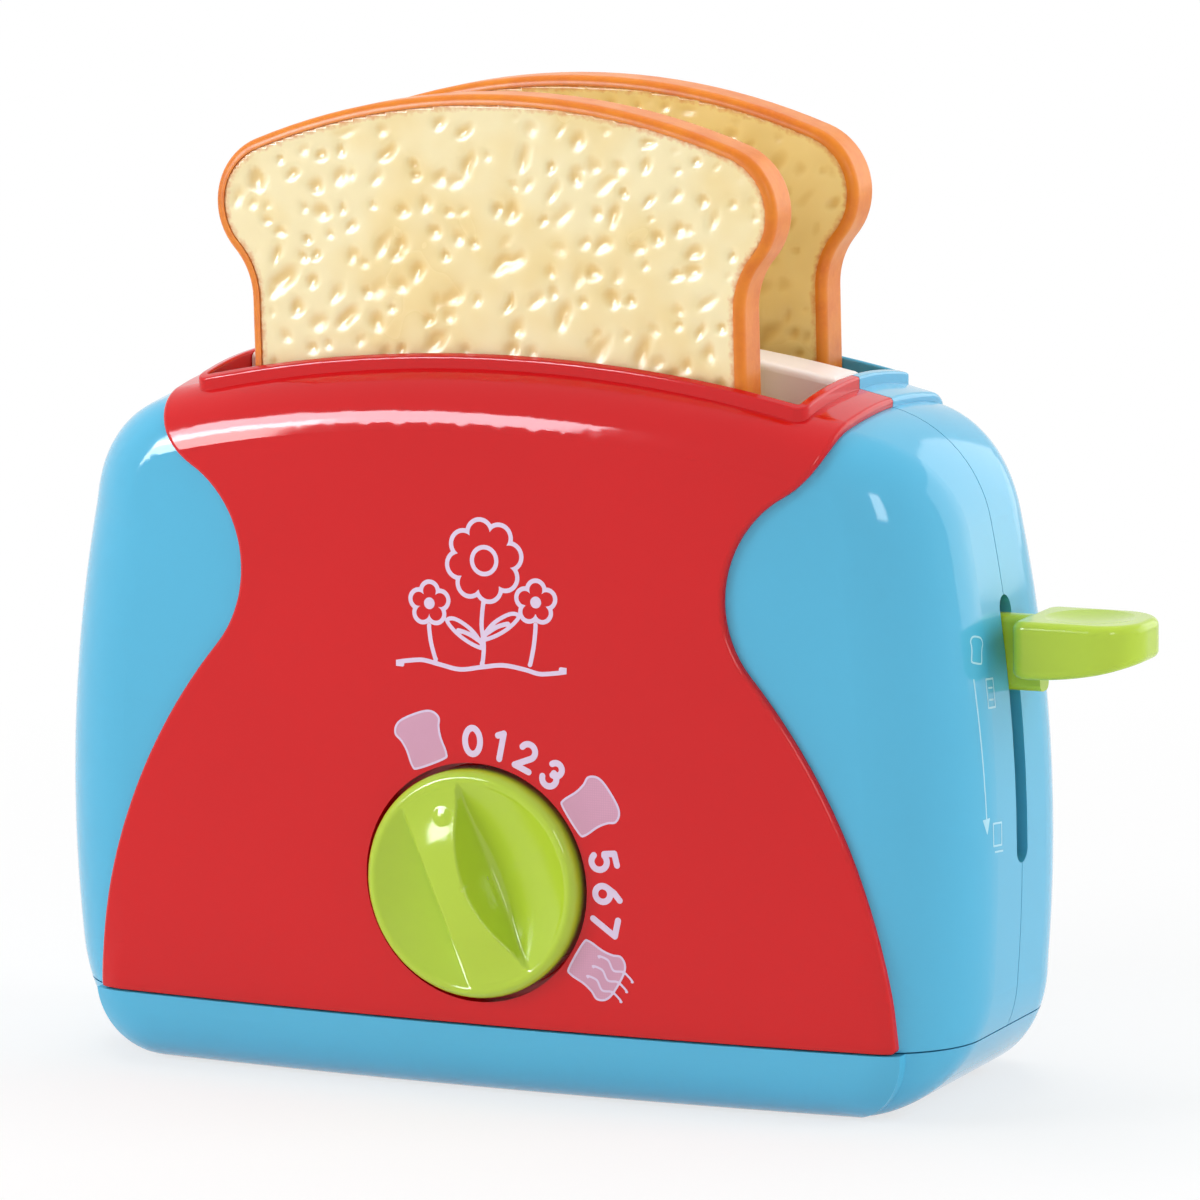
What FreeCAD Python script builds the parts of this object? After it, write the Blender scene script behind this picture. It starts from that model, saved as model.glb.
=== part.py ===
import FreeCAD, Part
import math
import os
import re
import Sketcher
from FreeCAD import Placement, Rotation, Vector

# Toy pop-up toaster. Millimetres, X to the right, Y to the back, Z up.
# The origin lies on the underside, on the plane where the front and rear shells meet.

DOC = FreeCAD.newDocument("ToyToaster")

# name, value, what it is
SIZES = [
    ("body_half_width", 95.0, "half width of the shells at the belly"),
    ("belly_height", 48.0, "height at which the sides are widest"),
    ("side_radius", 315.0, "radius of the sides, seen from the front"),
    ("crown_height", 137.8, "top of the shells, without the raised hourglass"),
    ("arch_radius", 295.0, "radius of the top, seen from the front"),
    ("crown_radius", 135.0, "radius of the top, seen from the side"),
    ("half_depth", 35.3, "half depth of the shells in the middle"),
    ("face_radius", 900.0, "radius of the slightly domed front and rear faces"),
    ("face_height", 50.0, "height of the middle of that dome"),
    ("corner_radius", 25.5, "upper corners, seen from the front"),
    ("foot_radius", 24.0, "lower corners, seen from the front"),
    ("top_roll", 11.0, "rounding between the top and the faces"),
    ("side_roll", 20.0, "rounding between the sides and the faces"),
    ("foot_roll", 9.0, "rounding between the underside and the faces"),
    ("wall", 2.2, "wall of the shells and the tray"),
    ("raise_height", 1.6, "thickness of the hourglass over the shells"),
    ("edge_round", 0.9, "rounding of the hourglass and knob hole edges"),
    ("seam_height", 14.2, "height of the seam between tray and shells"),
    ("seam_gap", 0.3, "gap that shows as a line at every seam"),
    ("waist_inset", 45.4, "distance of its waist from the body's side"),
    ("waist_radius", 22.0, "curve of the waist"),
    ("skirt_inset", 12.3, "distance of the hourglass near the tray from the body's side"),
    ("skirt_radius", 115.0, "curve from the skirt to the waist"),
    ("skirt_height", 8.0, "height at which the skirt is widest"),
    ("shoulder_inset", 25.4, "distance of the hourglass on the top from the body's side"),
    ("shoulder_radius", 18.0, "curve from the waist to the top"),
    ("apron_step", 0.7, "how far the tray's apron stands over the hourglass"),
    ("apron_overlap", 0.7, "how far the apron reaches past the hourglass"),
    ("apron_corner", 14.0, "lower corners of the apron"),
    ("rim_inset", 32.2, "distance of the rim's ends from the body's side"),
    ("rim_face_inset", 9.3, "distance of the rim from the body's faces"),
    ("rim_wall", 2.0, "wall of the rim"),
    ("rim_rise", 2.1, "height of the rim over the hourglass"),
    ("rim_corner", 2.6, "corners of the rim, seen from above"),
    ("rim_edge_round", 0.5, "rounding of the rim's upper edges"),
    ("collar_depth", 19.8, "how far the rim's collar reaches below the top"),
    ("fit_gap", 0.2, "gap round a piece that sits in an opening"),
    ("skin_gap", 0.05, "gap under the front panel"),
    ("travel", 31.0, "travel of the lever and the carriage"),
    ("slot_width", 5.4, "width of the lever slot"),
    ("slot_low_gap", 1.6, "gap under the lever at the lower end of its slot"),
    ("slot_high_gap", 3.4, "gap over the lever at the upper end of its slot"),
    ("case_clearance", 0.3, "gap between the timer case and the lowered shelves"),
    ("slice_height", 104.7, "height of a slice"),
    ("slice_thickness", 9.0, "thickness of a slice"),
    ("slice_room", 10.2, "room beside the straight part of a slice in its slot"),
    ("slice_face_gap", 0.25, "gap between a slice's outer face and the rim"),
    ("slice_tilt", 0.9, "lean of a slice in its slot, in degrees"),
    ("ear_reach", 6.9, "how far a slice's ears stand out over its straight part"),
    ("ear_height", 83.4, "height of the ears over the slice's lower edge"),
    ("ear_radius", 13.0, "rounding of an ear"),
    ("neck_radius", 14.0, "hollow below an ear"),
    ("slice_corner", 6.0, "lower corners of a slice"),
    ("crust_width", 1.9, "width of the crust seen on the face"),
    ("crust_step", 0.25, "how far the crust stands over the crumb"),
    ("crust_round", 1.6, "rounding of the crust's outer edges"),
    ("crumb_gap", 0.05, "gap between crumb and crust"),
    ("crumb_wall", 1.6, "wall of the hollow crumb"),
    ("shelf_thickness", 2.0, "thickness of the bread shelves"),
    ("shelf_reach", 3.4, "how far a bread shelf is longer than a slice, each side"),
    ("shelf_gap", 0.3, "gap between a slice and the lips of its shelf"),
    ("lip_thickness", 1.35, "thickness of the lips"),
    ("outer_lip", 4.0, "height of the outer lip over the shelf"),
    ("inner_lip", 8.0, "height of the inner lip over the shelf"),
    ("crossbar_width", 6.0, "width of the bars that join the shelves"),
    ("crossbar_height", 4.0, "height of those bars"),
    ("arm_half_depth", 4.0, "half depth of the arms to the bushes"),
    ("rod_radius", 1.5, "radius of the guide rods"),
    ("rod_inset", 27.0, "distance of a guide rod from the body's side"),
    ("rod_bottom", 6.0, "lower end of the guide rods"),
    ("rod_over_lug", 1.5, "how far a guide rod stands over its lug"),
    ("bush_radius", 4.2, "outer radius of the carriage bushes"),
    ("bush_height", 12.0, "height of the carriage bushes"),
    ("running_gap", 0.06, "radial clearance of a turning or sliding fit"),
    ("seat_gap", 0.03, "radial clearance of a fixed pin or screw"),
    ("spring_wire", 0.45, "wire radius of the lift springs"),
    ("spring_radius", 3.0, "mean radius of the lift springs"),
    ("spring_turns", 13, "turns of a lift spring"),
    ("lever_half_thickness", 2.2, "half thickness of the lever's stem"),
    ("stem_drop", 4.2, "how far the lever's stem reaches below the slices"),
    ("stem_height", 14.2, "height of the lever's stem"),
    ("lever_root_gap", 0.6, "gap between a carriage bush and the stem's inner end"),
    ("stem_round", 1.5, "rounding of the stem's long edges"),
    ("paddle_gap", 1.5, "gap between the body's side and the paddle"),
    ("paddle_length", 24.2, "length of the paddle"),
    ("paddle_half_depth", 10.5, "half depth of the paddle"),
    ("paddle_rise", 3.6, "height of the paddle's lower face over the stem's lower edge"),
    ("paddle_height", 10.8, "height of the paddle"),
    ("paddle_tip_radius", 8.5, "rounding of the paddle's tip, seen from above"),
    ("paddle_back_radius", 3.0, "rounding of the paddle's inner corners"),
    ("paddle_tip_lift", 3.7, "rise of the underside towards the tip"),
    ("paddle_dish_radius", 36.0, "radius of the thumb dish"),
    ("paddle_dish_depth", 1.0, "depth of the thumb dish"),
    ("paddle_round", 1.6, "rounding of the paddle's edges"),
    ("plate_rise", 1.4, "height of the carriage's lever plate over the stem's lower edge"),
    ("plate_drop", 1.3, "how far that plate ends below the stem's upper edge"),
    ("plate_reach", 12.5, "how far that plate reaches out from the guide rod"),
    ("ear_plate_thickness", 2.6, "thickness of the lever plate"),
    ("post_left", 24.5, "left side of the latch post"),
    ("post_width", 4.5, "width of the latch post"),
    ("post_thickness", 2.0, "thickness of the latch post"),
    ("post_drop", 26.2, "how far the latch post reaches below the slices"),
    ("tooth_reach", 2.5, "length of the tooth on the latch post"),
    ("tooth_height", 3.0, "height of that tooth"),
    ("guide_wall", 1.6, "wall of the bread guide"),
    ("guide_end_gap", 0.4, "how far the guide's end walls lie outside the rim's opening"),
    ("guide_end_wall", 2.0, "thickness of the guide's end walls"),
    ("guide_side_gap", 0.2, "how far its long walls lie outside the rim's opening"),
    ("guide_over_shelf", 12.8, "height of the divider and the long walls over the bread shelves"),
    ("guide_top_gap", 0.4, "gap between the guide and the rim's collar"),
    ("divider_half_depth", 6.0, "half thickness of the divider"),
    ("divider_round", 1.5, "rounding of the divider's upper edges"),
    ("divider_drop", 0.15, "how far the divider lies under the rim"),
    ("arm_window_gap", 0.7, "gap round a carriage arm in the guide"),
    ("foot_height", 8.0, "height of the guide's feet"),
    ("foot_seat", 2.4, "height of the tray's seats for the feet"),
    ("foot_length", 8.0, "length of the guide's feet"),
    ("foot_inset", 8.2, "distance of the feet from the guide's long walls"),
    ("foot_half_depth", 5.0, "half depth of the guide's feet"),
    ("lug_rise", 2.0, "height of the rod lugs over the long walls' lower edge"),
    ("lug_height", 5.0, "height of the rod lugs"),
    ("lug_half_depth", 5.0, "half depth of the rod lugs"),
    ("socket_radius", 4.0, "radius of the tray's rod sockets"),
    ("socket_top", 12.0, "upper end of the rod sockets"),
    ("boss_radius", 3.6, "radius of the screw bosses"),
    ("web", 1.6, "thickness of the webs beside the bosses"),
    ("screw_radius", 1.4, "radius of the larger screws"),
    ("screw_head", 2.7, "head radius of the larger screws"),
    ("head_height", 1.8, "head height of the larger screws"),
    ("screw_length", 16.0, "length of the larger screws under the head"),
    ("clearance_hole", 1.7, "radius of a hole that a larger screw passes"),
    ("counterbore", 3.1, "radius of the counterbores"),
    ("bore_wall", 1.2, "wall round a counterbore"),
    ("small_clearance", 0.2, "radial clearance of a hole that a smaller screw passes"),
    ("spare_depth", 1.5, "how much deeper than its screw a blind hole is"),
    ("base_screw_inset", 19.0, "distance of the base screws from the body's side"),
    ("base_screw_face_inset", 15.3, "distance of the base screws from the body's faces"),
    ("base_head_seat", 6.0, "height of the base screws' seat"),
    ("base_boss_top", 34.0, "upper end of the shells' base bosses"),
    ("upper_screw_inset", 21.0, "distance of the upper shell screws from the body's side"),
    ("upper_screw_drop", 25.8, "distance of the upper shell screws from the top"),
    ("lower_screw_inset", 11.0, "distance of the lower shell screws from the body's side"),
    ("lower_screw_z", 38.6, "lower shell screws, height"),
    ("shell_head_seat", 6.0, "depth of the shell screws' seat"),
    ("small_screw", 1.0, "radius of the smaller screws"),
    ("small_head", 2.0, "head radius of the smaller screws"),
    ("small_head_height", 1.3, "head height of the smaller screws"),
    ("small_length", 8.0, "length of the smaller screws"),
    ("short_length", 6.0, "length of the lever screws"),
    ("panel_screw_length", 4.2, "length of the panel screws"),
    ("washer_head", 4.3, "head radius of the panel screws"),
    ("panel_peg", 3.0, "radius of the panel's pegs"),
    ("peg_socket", 4.8, "radius of the shell's sockets for the pegs"),
    ("peg_setback", 6.7, "distance of the pegs' and sockets' ends from the body's face"),
    ("low_peg_inset", 22.7, "distance of the lower pegs from the hourglass's edge"),
    ("low_peg_z", 27.0, "lower pegs, height"),
    ("high_peg_inset", 11.6, "distance of the upper pegs from the waist"),
    ("high_peg_drop", 36.8, "distance of the upper pegs from the top"),
    ("knob_height", 41.4, "height of the knob's axis"),
    ("knob_radius", 22.2, "radius of the knob"),
    ("knob_hole", 22.75, "radius of the knob's recess"),
    ("recess_depth", 4.0, "depth of the recess"),
    ("cup_wall", 1.6, "wall of the recess"),
    ("knob_proud", 2.6, "how far the knob stands over the panel"),
    ("knob_back_gap", 0.4, "gap behind the knob"),
    ("knob_edge", 2.2, "rounding of the knob's edge"),
    ("dish_radius", 20.0, "radius of the finger dish"),
    ("dish_depth", 5.6, "depth of the finger dish"),
    ("grip_half_width", 4.2, "half width of the grip bar on top"),
    ("grip_draft", 2.8, "how much wider the bar is at its foot, each side"),
    ("dot_radius", 1.8, "radius of the pointer dot"),
    ("dot_distance", 14.0, "distance of the pointer dot from the axis"),
    ("dot_rise", 0.5, "height of the pointer dot"),
    ("pointer_angle", 22.5, "lean of the grip bar at rest, in degrees"),
    ("shaft_radius", 2.4, "radius of the knob shaft"),
    ("shaft_cover", 3.5, "what covers the shaft's end at the front of the knob"),
    ("shaft_end", 0.4, "how far the shaft stands out behind the cam"),
    ("case_left", -19.9, "left side of the timer case"),
    ("case_right", 21.9, "right side of the timer case"),
    ("case_below_knob", 33.0, "distance of the timer case's underside from the knob's axis"),
    ("case_above_knob", 7.5, "distance of the timer case's top from the knob's axis"),
    ("case_gap", 0.3, "gap between the recess and the timer case"),
    ("case_depth", 18.5, "depth of the timer case"),
    ("case_wall", 1.3, "walls of the timer case"),
    ("plate", 1.5, "front plate and cover of the timer"),
    ("case_post", 2.2, "radius of the posts in the case's corners"),
    ("post_inset", 2.6, "distance of those posts from the case's sides"),
    ("lug_x", 30.0, "mounting lugs, from the middle"),
    ("lug_low_drop", 21.4, "distance of the lower mounting lugs from the knob's axis"),
    ("lug_high_rise", 2.6, "distance of the upper mounting lugs from the knob's axis"),
    ("lug_half", 4.0, "half height of the mounting lugs"),
    ("lug_setback", 11.0, "distance of the lugs from the case's front"),
    ("lug_thickness", 2.5, "thickness of the mounting lugs"),
    ("module_size", 0.8, "module of the gears"),
    ("tooth_half_width", 0.53, "half width of a tooth on the pitch circle"),
    ("flank_slope", 0.36, "slope of a tooth's flanks"),
    ("addendum", 0.7, "height of a tooth over the pitch circle"),
    ("tooth_sink", 0.3, "how far a tooth reaches into its wheel"),
    ("dedendum", 1.0, "depth of a tooth under the pitch circle"),
    ("pinion_teeth", 12, "teeth of the drive pinion"),
    ("barrel_teeth", 32, "teeth of the spring barrel"),
    ("governor_teeth", 10, "teeth of the governor pinion"),
    ("mesh_gap", 0.12, "extra distance between meshed gears"),
    ("gear_gap", 0.7, "gap between the case's front plate and the gears"),
    ("gear_width", 3.0, "width of the gears"),
    ("barrel_x", -4.0, "spring barrel, from the middle"),
    ("drum_radius", 11.0, "radius of the spring drum"),
    ("drum_depth", 10.8, "length of the barrel with its gear"),
    ("drum_wall", 1.0, "wall of the drum"),
    ("arbor_radius", 1.5, "radius of the barrel arbor"),
    ("hub_radius", 2.6, "radius of the drum's hub"),
    ("mainspring_strip", 0.35, "thickness of the mainspring"),
    ("mainspring_pitch", 1.2, "distance from turn to turn"),
    ("mainspring_inner", 3.4, "radius of the innermost turn"),
    ("mainspring_turns", 5, "turns of the mainspring"),
    ("governor_angle", 16.0, "direction of the governor from the barrel, below level"),
    ("flywheel_radius", 7.4, "radius of the governor's flywheel"),
    ("flywheel_setback", 12.2, "distance of the flywheel from the gears' front"),
    ("flywheel_width", 2.4, "width of the flywheel"),
    ("governor_pin", 1.0, "radius of the governor's pin"),
    ("governor_hub", 2.2, "radius of the governor's hub"),
    ("lid_thickness", 0.8, "thickness of the barrel's lid"),
    ("cam_radius", 8.0, "radius of the release cam at its lobe"),
    ("cam_lead", 10.0, "how far the cam's lobe runs past the latch's tail, in degrees"),
    ("dial_turn", 143.0, "turn of the knob in degrees"),
    ("cam_gap", 0.4, "gap between the timer's cover and the cam"),
    ("cam_width", 2.0, "width of the cam"),
    ("latch_x", 16.5, "latch pivot, from the middle"),
    ("latch_drop", 2.4, "how far the latch pivot lies below the knob's axis"),
    ("latch_gap", 0.8, "gap between the timer's cover and the latch"),
    ("latch_width", 1.8, "width of the latch"),
    ("latch_swing", 12.0, "swing of the latch over the dial's turn, in degrees"),
    ("latch_hub", 2.8, "radius of the latch's hub"),
    ("latch_pin", 1.2, "radius of the latch pin"),
    ("latch_pin_reach", 2.4, "how far the latch pin's head lies behind the latch"),
    ("nose_reach", 4.8, "distance of the nose's tip right of the pivot"),
    ("nose_drop", 11.8, "distance of the nose's tip under the pivot"),
    ("nose_width", 2.2, "width of the nose"),
    ("tail_gap", 0.4, "gap between the latch's tail and the cam"),
    ("tail_width", 2.0, "width of the tail"),
    ("torsion_wire", 0.3, "wire radius of the latch spring"),
    ("torsion_turns", 3, "turns of the latch spring"),
    ("pin_head", 2.4, "radius of the latch pin's head"),
    ("pin_head_height", 0.8, "height of the latch pin's head"),
]

# Lengths that follow from the sizes above, written with their names.
DERIVED = {
    "skirt_half_width": "body_half_width - skirt_inset",
    "waist_half_width": "body_half_width - waist_inset",
    "shoulder_half_width": "body_half_width - shoulder_inset",
    "apron_half_width": "skirt_half_width + apron_overlap",
    "rim_half_length": "body_half_width - rim_inset",
    "rim_half_depth": "half_depth - rim_face_inset",
    "collar_bottom": "crown_height - collar_depth",
    "slice_bottom": "case_top + case_clearance + travel + shelf_thickness",
    "slice_half_width": "rim_half_length - rim_wall - slice_room",
    "slice_face": "rim_half_depth - rim_wall - slice_face_gap",
    "ear_half_width": "slice_half_width + ear_reach",
    "shelf_half_length": "slice_half_width + shelf_reach",
    "rod_distance": "body_half_width - rod_inset",
    "rod_top": "lug_bottom + lug_height + rod_over_lug",
    "lever_low": "slice_bottom - stem_drop",
    "lever_high": "lever_low + stem_height",
    "lever_inner": "rod_distance + bush_radius + lever_root_gap",
    "paddle_inner": "body_half_width + paddle_gap",
    "paddle_outer": "paddle_inner + paddle_length",
    "paddle_low": "lever_low + paddle_rise",
    "paddle_high": "paddle_low + paddle_height",
    "ear_plate_low": "lever_low + plate_rise",
    "ear_plate_high": "lever_high - plate_drop",
    "ear_plate_outer": "rod_distance + plate_reach",
    "post_near": "-(latch_front)",
    "post_bottom": "slice_bottom - post_drop",
    "guide_end": "rim_half_length - rim_wall + guide_end_gap",
    "guide_half_depth": "rim_half_depth - rim_wall + guide_side_gap",
    "guide_bottom": "slice_bottom + guide_over_shelf",
    "foot_distance": "guide_half_depth - foot_inset",
    "lug_bottom": "guide_bottom + lug_rise",
    "base_screw_x": "body_half_width - base_screw_inset",
    "base_screw_y": "half_depth - base_screw_face_inset",
    "upper_screw_x": "body_half_width - upper_screw_inset",
    "upper_screw_z": "crown_height - upper_screw_drop",
    "lower_screw_x": "body_half_width - lower_screw_inset",
    "peg_end": "half_depth - peg_setback",
    "low_peg_x": "skirt_half_width - low_peg_inset",
    "high_peg_x": "waist_half_width - high_peg_inset",
    "high_peg_z": "crown_height - high_peg_drop",
    "shaft_front": "knob_front - shaft_cover",
    "shaft_back": "cam_rear - shaft_end",
    "case_bottom": "knob_height - case_below_knob",
    "case_top": "knob_height + case_above_knob",
    "case_front": "cup_back - case_gap",
    "case_rear": "case_front - case_depth",
    "lug_low": "knob_height - lug_low_drop",
    "lug_high": "knob_height + lug_high_rise",
    "lug_front": "case_front - lug_setback",
    "gear_front": "case_front - plate - gear_gap",
    "drum_rear": "gear_front - drum_depth",
    "flywheel_front": "gear_front - flywheel_setback",
    "cam_front": "cover_rear - cam_gap",
    "latch_z": "knob_height - latch_drop",
    "latch_front": "cover_rear - latch_gap",
    "latch_pin_rear": "latch_rear - latch_pin_reach",
    "panel_face": "half_depth + raise_height",
    "slot_bottom": "lever_low - travel - slot_low_gap",
    "slot_top": "lever_high + slot_high_gap",
    "shelf_bottom": "slice_bottom - shelf_thickness",
    "lip_outer": "slice_face + shelf_gap",
    "shelf_outer": "lip_outer + lip_thickness",
    "lip_inner": "slice_face - slice_thickness - shelf_gap",
    "shelf_inner": "lip_inner - lip_thickness",
    "crossbar_end": "shelf_half_length + crossbar_width",
    "bush_bottom": "shelf_bottom - 0.5 * (bush_height - crossbar_height)",
    "guide_top": "collar_bottom - guide_top_gap",
    "guide_outer": "guide_end + guide_end_wall",
    "tray_top": "seam_height - 0.5 * seam_gap",
    "shell_bottom": "seam_height + 0.5 * seam_gap",
    "half_gap": "0.4 * seam_gap",
    "cup_floor": "panel_face - recess_depth",
    "cup_back": "cup_floor - cup_wall",
    "knob_front": "panel_face + knob_proud",
    "knob_back": "cup_floor + knob_back_gap",
    "cover_rear": "case_rear - plate",
    "pinion_pitch": "0.5 * module_size * pinion_teeth",
    "barrel_pitch": "0.5 * module_size * barrel_teeth",
    "governor_pitch": "0.5 * module_size * governor_teeth",
    "barrel_distance": "pinion_pitch + barrel_pitch + mesh_gap",
    "governor_distance": "barrel_pitch + governor_pitch + mesh_gap",
    "barrel_z": "knob_height - sqrt(barrel_distance * barrel_distance - barrel_x * barrel_x)",
    "governor_x": "barrel_x + governor_distance * cos(governor_angle)",
    "governor_z": "barrel_z - governor_distance * sin(governor_angle)",
    "gear_rear": "gear_front - gear_width",
    "spring_bottom": "socket_top",
    "spring_top": "bush_bottom",
    "latch_rear": "latch_front - latch_width",
    "cam_rear": "cam_front - cam_width",
    "post_rear": "post_near + post_thickness",
    "guide_seat": "wall + foot_seat",
    "guide_screw_seat": "0.5 * guide_seat",
    "foot_x": "guide_end - 0.5 * foot_length",
    "divider_half_length": "rim_half_length - rim_wall - fit_gap",
    "plate_front": "lever_half_thickness + 0.5 * fit_gap",
    "plate_rear": "plate_front + ear_plate_thickness",
    "lever_screw_x": "ear_plate_outer - 1.5 * small_head",
    "lever_screw_rise": "0.25 * (ear_plate_high - ear_plate_low)",
    "lever_middle": "0.5 * (ear_plate_low + ear_plate_high)",
    "dish_sphere": "0.5 * (dish_radius * dish_radius / dish_depth + dish_depth)",
    "dot_sphere": "0.5 * (dot_radius * dot_radius / dot_rise + dot_rise)",
    "dish_foot": "knob_front - dish_depth",
    "left_post": "case_left + post_inset",
    "right_post": "case_right - post_inset",
    "bottom_post": "case_bottom + post_inset",
    "top_post": "case_top - post_inset",
}


def make_sheet():
    sheet = DOC.addObject("Spreadsheet::Sheet", "Sizes")
    for row, (name, value, meaning) in enumerate(SIZES, start=1):
        sheet.set(f"A{row}", meaning)
        sheet.set(f"B{row}", str(value))
        sheet.setAlias(f"B{row}", name)
    DOC.recompute()
    return sheet


SHEET = make_sheet()
ALIASES = {name for name, value, meaning in SIZES}


def formula(text):
    """Turn a sum written with size names into an expression on the sheet."""
    def expand(match):
        word = match.group(0)
        if word in DERIVED:
            return "(" + formula(DERIVED[word]) + ")"
        if word in ALIASES:
            return "Sizes." + word
        return word
    return re.sub(r"[a-z_][a-z0-9_]*", expand, str(text))


def number(text):
    """The value of such a sum."""
    return float(SHEET.evalExpression(formula(text)))


def bind(target, path, text):
    target.setExpression(path, formula(text))


# ---------------------------------------------------------------- tools

TURN = {"x": Rotation(Vector(0, 1, 0), 90), "y": Rotation(Vector(1, 0, 0), -90), "z": Rotation()}
FORWARD = Rotation(Vector(1, 0, 0), 90)
LEFT_RIGHT = ("-1", "1")
FAR = 150
NODES = []


def node(piece, label):
    """Give a finished sub-part its own label; the label names its file."""
    piece.Label = label
    NODES.append(piece)
    return piece


def place(piece, x, y, z):
    for letter, text in zip("xyz", (x, y, z)):
        bind(piece, "Placement.Base." + letter, text)
    return piece


def box(name, x, y, z):
    """A block given by its lowest and highest coordinate along each axis."""
    piece = DOC.addObject("Part::Box", name)
    for side, (low, high) in zip(("Length", "Width", "Height"), (x, y, z)):
        bind(piece, side, f"({high}) - ({low})")
    return place(piece, x[0], y[0], z[0])


def rod(name, axis, start, length, radius):
    """A cylinder along an axis from its start point."""
    piece = DOC.addObject("Part::Cylinder", name)
    piece.Placement = Placement(Vector(), TURN[axis])
    bind(piece, "Radius", radius)
    bind(piece, "Height", length)
    return place(piece, *start)


def ball(name, middle, radius):
    piece = DOC.addObject("Part::Sphere", name)
    bind(piece, "Radius", radius)
    return place(piece, *middle)


def fuse(name, pieces):
    piece = DOC.addObject("Part::MultiFuse", name)
    piece.Shapes = pieces
    piece.Refine = True
    return piece


def common(name, pieces):
    piece = DOC.addObject("Part::MultiCommon", name)
    piece.Shapes = pieces
    return piece


def cut(name, base, tools):
    piece = DOC.addObject("Part::Cut", name)
    piece.Base = base
    piece.Tool = tools[0] if len(tools) == 1 else fuse(name + "_tools", tools)
    return piece


def group(name, pieces):
    """Identical pieces that share a node and stay separate solids."""
    piece = DOC.addObject("Part::Compound", name)
    piece.Links = pieces
    return piece


def feature(name, shape):
    piece = DOC.addObject("Part::Feature", name)
    piece.Shape = shape
    return piece


def fillet(name, base, radius_of):
    """Round each edge for which radius_of gives a pair of end radii."""
    DOC.recompute()
    edges = []
    for index, edge in enumerate(base.Shape.Edges, start=1):
        radii = radius_of(edge)
        if radii:
            edges.append((index, *radii))
    piece = DOC.addObject("Part::Fillet", name)
    piece.Base = base
    piece.Edges = edges
    return piece


# ------------------------------------------------- outer form of the body

def lens(half_width, radius, length):
    """Two big cylinders that overlap: the curved left and right sides."""
    z = number("belly_height")
    sides = []
    for sign in (-1, 1):
        centre = Vector(sign * (half_width - radius), -length / 2, z)
        sides.append(Part.makeCylinder(radius, length, centre, Vector(0, 1, 0)))
    return sides[0].common(sides[1])


def crown(top, arch, across, reach):
    """A barrel that lies along X and gives the top its double curve."""
    axis = top - across
    drop = arch - math.sqrt(arch ** 2 - reach ** 2)
    low = axis - across
    ends = [Vector(-reach, 0, axis), Vector(-reach, 0, low + drop),
            Vector(reach, 0, low + drop), Vector(reach, 0, axis)]
    outline = Part.Wire([
        Part.LineSegment(ends[0], ends[1]).toShape(),
        Part.Arc(ends[1], Vector(0, 0, low), ends[2]).toShape(),
        Part.LineSegment(ends[2], ends[3]).toShape(),
        Part.LineSegment(ends[3], ends[0]).toShape(),
    ])
    return Part.Face(outline).revolve(ends[0], Vector(1, 0, 0), 360)


def rounded_block(grow):
    """Sides, top and underside of the body with its four corners rounded."""
    half_width = number("body_half_width")
    block = lens(half_width + grow, number("side_radius") + grow, 4 * number("half_depth"))
    block = block.common(crown(number("crown_height") + grow, number("arch_radius") + grow,
                               number("crown_radius") + grow, 1.15 * half_width))
    floor = max(-grow, 0)
    block = block.common(Part.makeBox(2 * FAR, 2 * FAR, 2 * FAR, Vector(-FAR, -FAR, floor)))
    along_y = [edge for edge in block.Edges
               if abs(edge.CenterOfMass.x) > 0.5 * half_width and abs(edge.CenterOfMass.y) < 1]
    upper = [edge for edge in along_y if edge.CenterOfMass.z > number("belly_height")]
    block = block.makeFillet(number("corner_radius") + grow, upper)
    lower = [edge for edge in block.Edges
             if abs(edge.CenterOfMass.z - floor) < 1 and abs(edge.CenterOfMass.x) > 0.5 * half_width]
    return block.makeFillet(number("foot_radius") + min(grow, 0), lower)


def roll_radii(block, grow):
    """How the rounding of the faces' edges changes from top to side to underside.

    A loop of edges is followed in the direction of its first edge, and the two radii
    of an edge belong to its ends in that order.
    """
    middle_height = number("belly_height")
    side_from = number("body_half_width") - 0.75 * number("corner_radius")
    radius = {name: number(name + "_roll") + grow for name in ("top", "side", "foot")}

    def radius_at(point):
        if abs(point.x) > side_from:
            return radius["side"]
        return radius["top"] if point.z > middle_height else radius["foot"]

    def ends(edge):
        return [edge.valueAt(edge.FirstParameter), edge.valueAt(edge.LastParameter)]

    def on_loop(edge):
        return abs(edge.CenterOfMass.y) > number("half_depth") / 2

    def clockwise(edge):
        start, end = ends(edge)
        centre = Vector(0, start.y, middle_height)
        return (start - centre).cross(end - centre).y > 0

    sense = {}
    for edge in filter(on_loop, block.Shape.Edges):
        sense.setdefault(edge.CenterOfMass.y > 0, clockwise(edge))

    def radii(edge):
        if not on_loop(edge):
            return None
        start, end = ends(edge)
        if clockwise(edge) != sense[edge.CenterOfMass.y > 0]:
            start, end = end, start
        return (radius_at(start), radius_at(end))
    return radii


def body_form(name, offset):
    """The body's outer form, grown by an offset, or shrunk if it is negative."""
    grow = number(offset)
    block = rounded_block(grow)
    radius = number("face_radius") + grow
    reach = radius - number("half_depth") - grow
    room = Part.makeBox(2 * FAR, 2 * FAR, 2 * FAR, Vector(-FAR, -FAR, -FAR))
    for sign in (-1, 1):
        ball = Part.makeSphere(radius, Vector(0, sign * reach, number("face_height")))
        block = block.common(ball.common(room))
    base = feature(name + "_block", block)
    return fillet(name, base, roll_radii(base, grow))


def arc(centre, radius, start, end):
    """An arc in the XZ plane; angles in degrees from +X towards +Z."""
    def point(angle):
        turn = math.radians(angle)
        return Vector(centre[0] + radius * math.cos(turn), 0, centre[1] + radius * math.sin(turn))
    return Part.Arc(point(start), point((start + end) / 2), point(end)).toShape()


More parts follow.
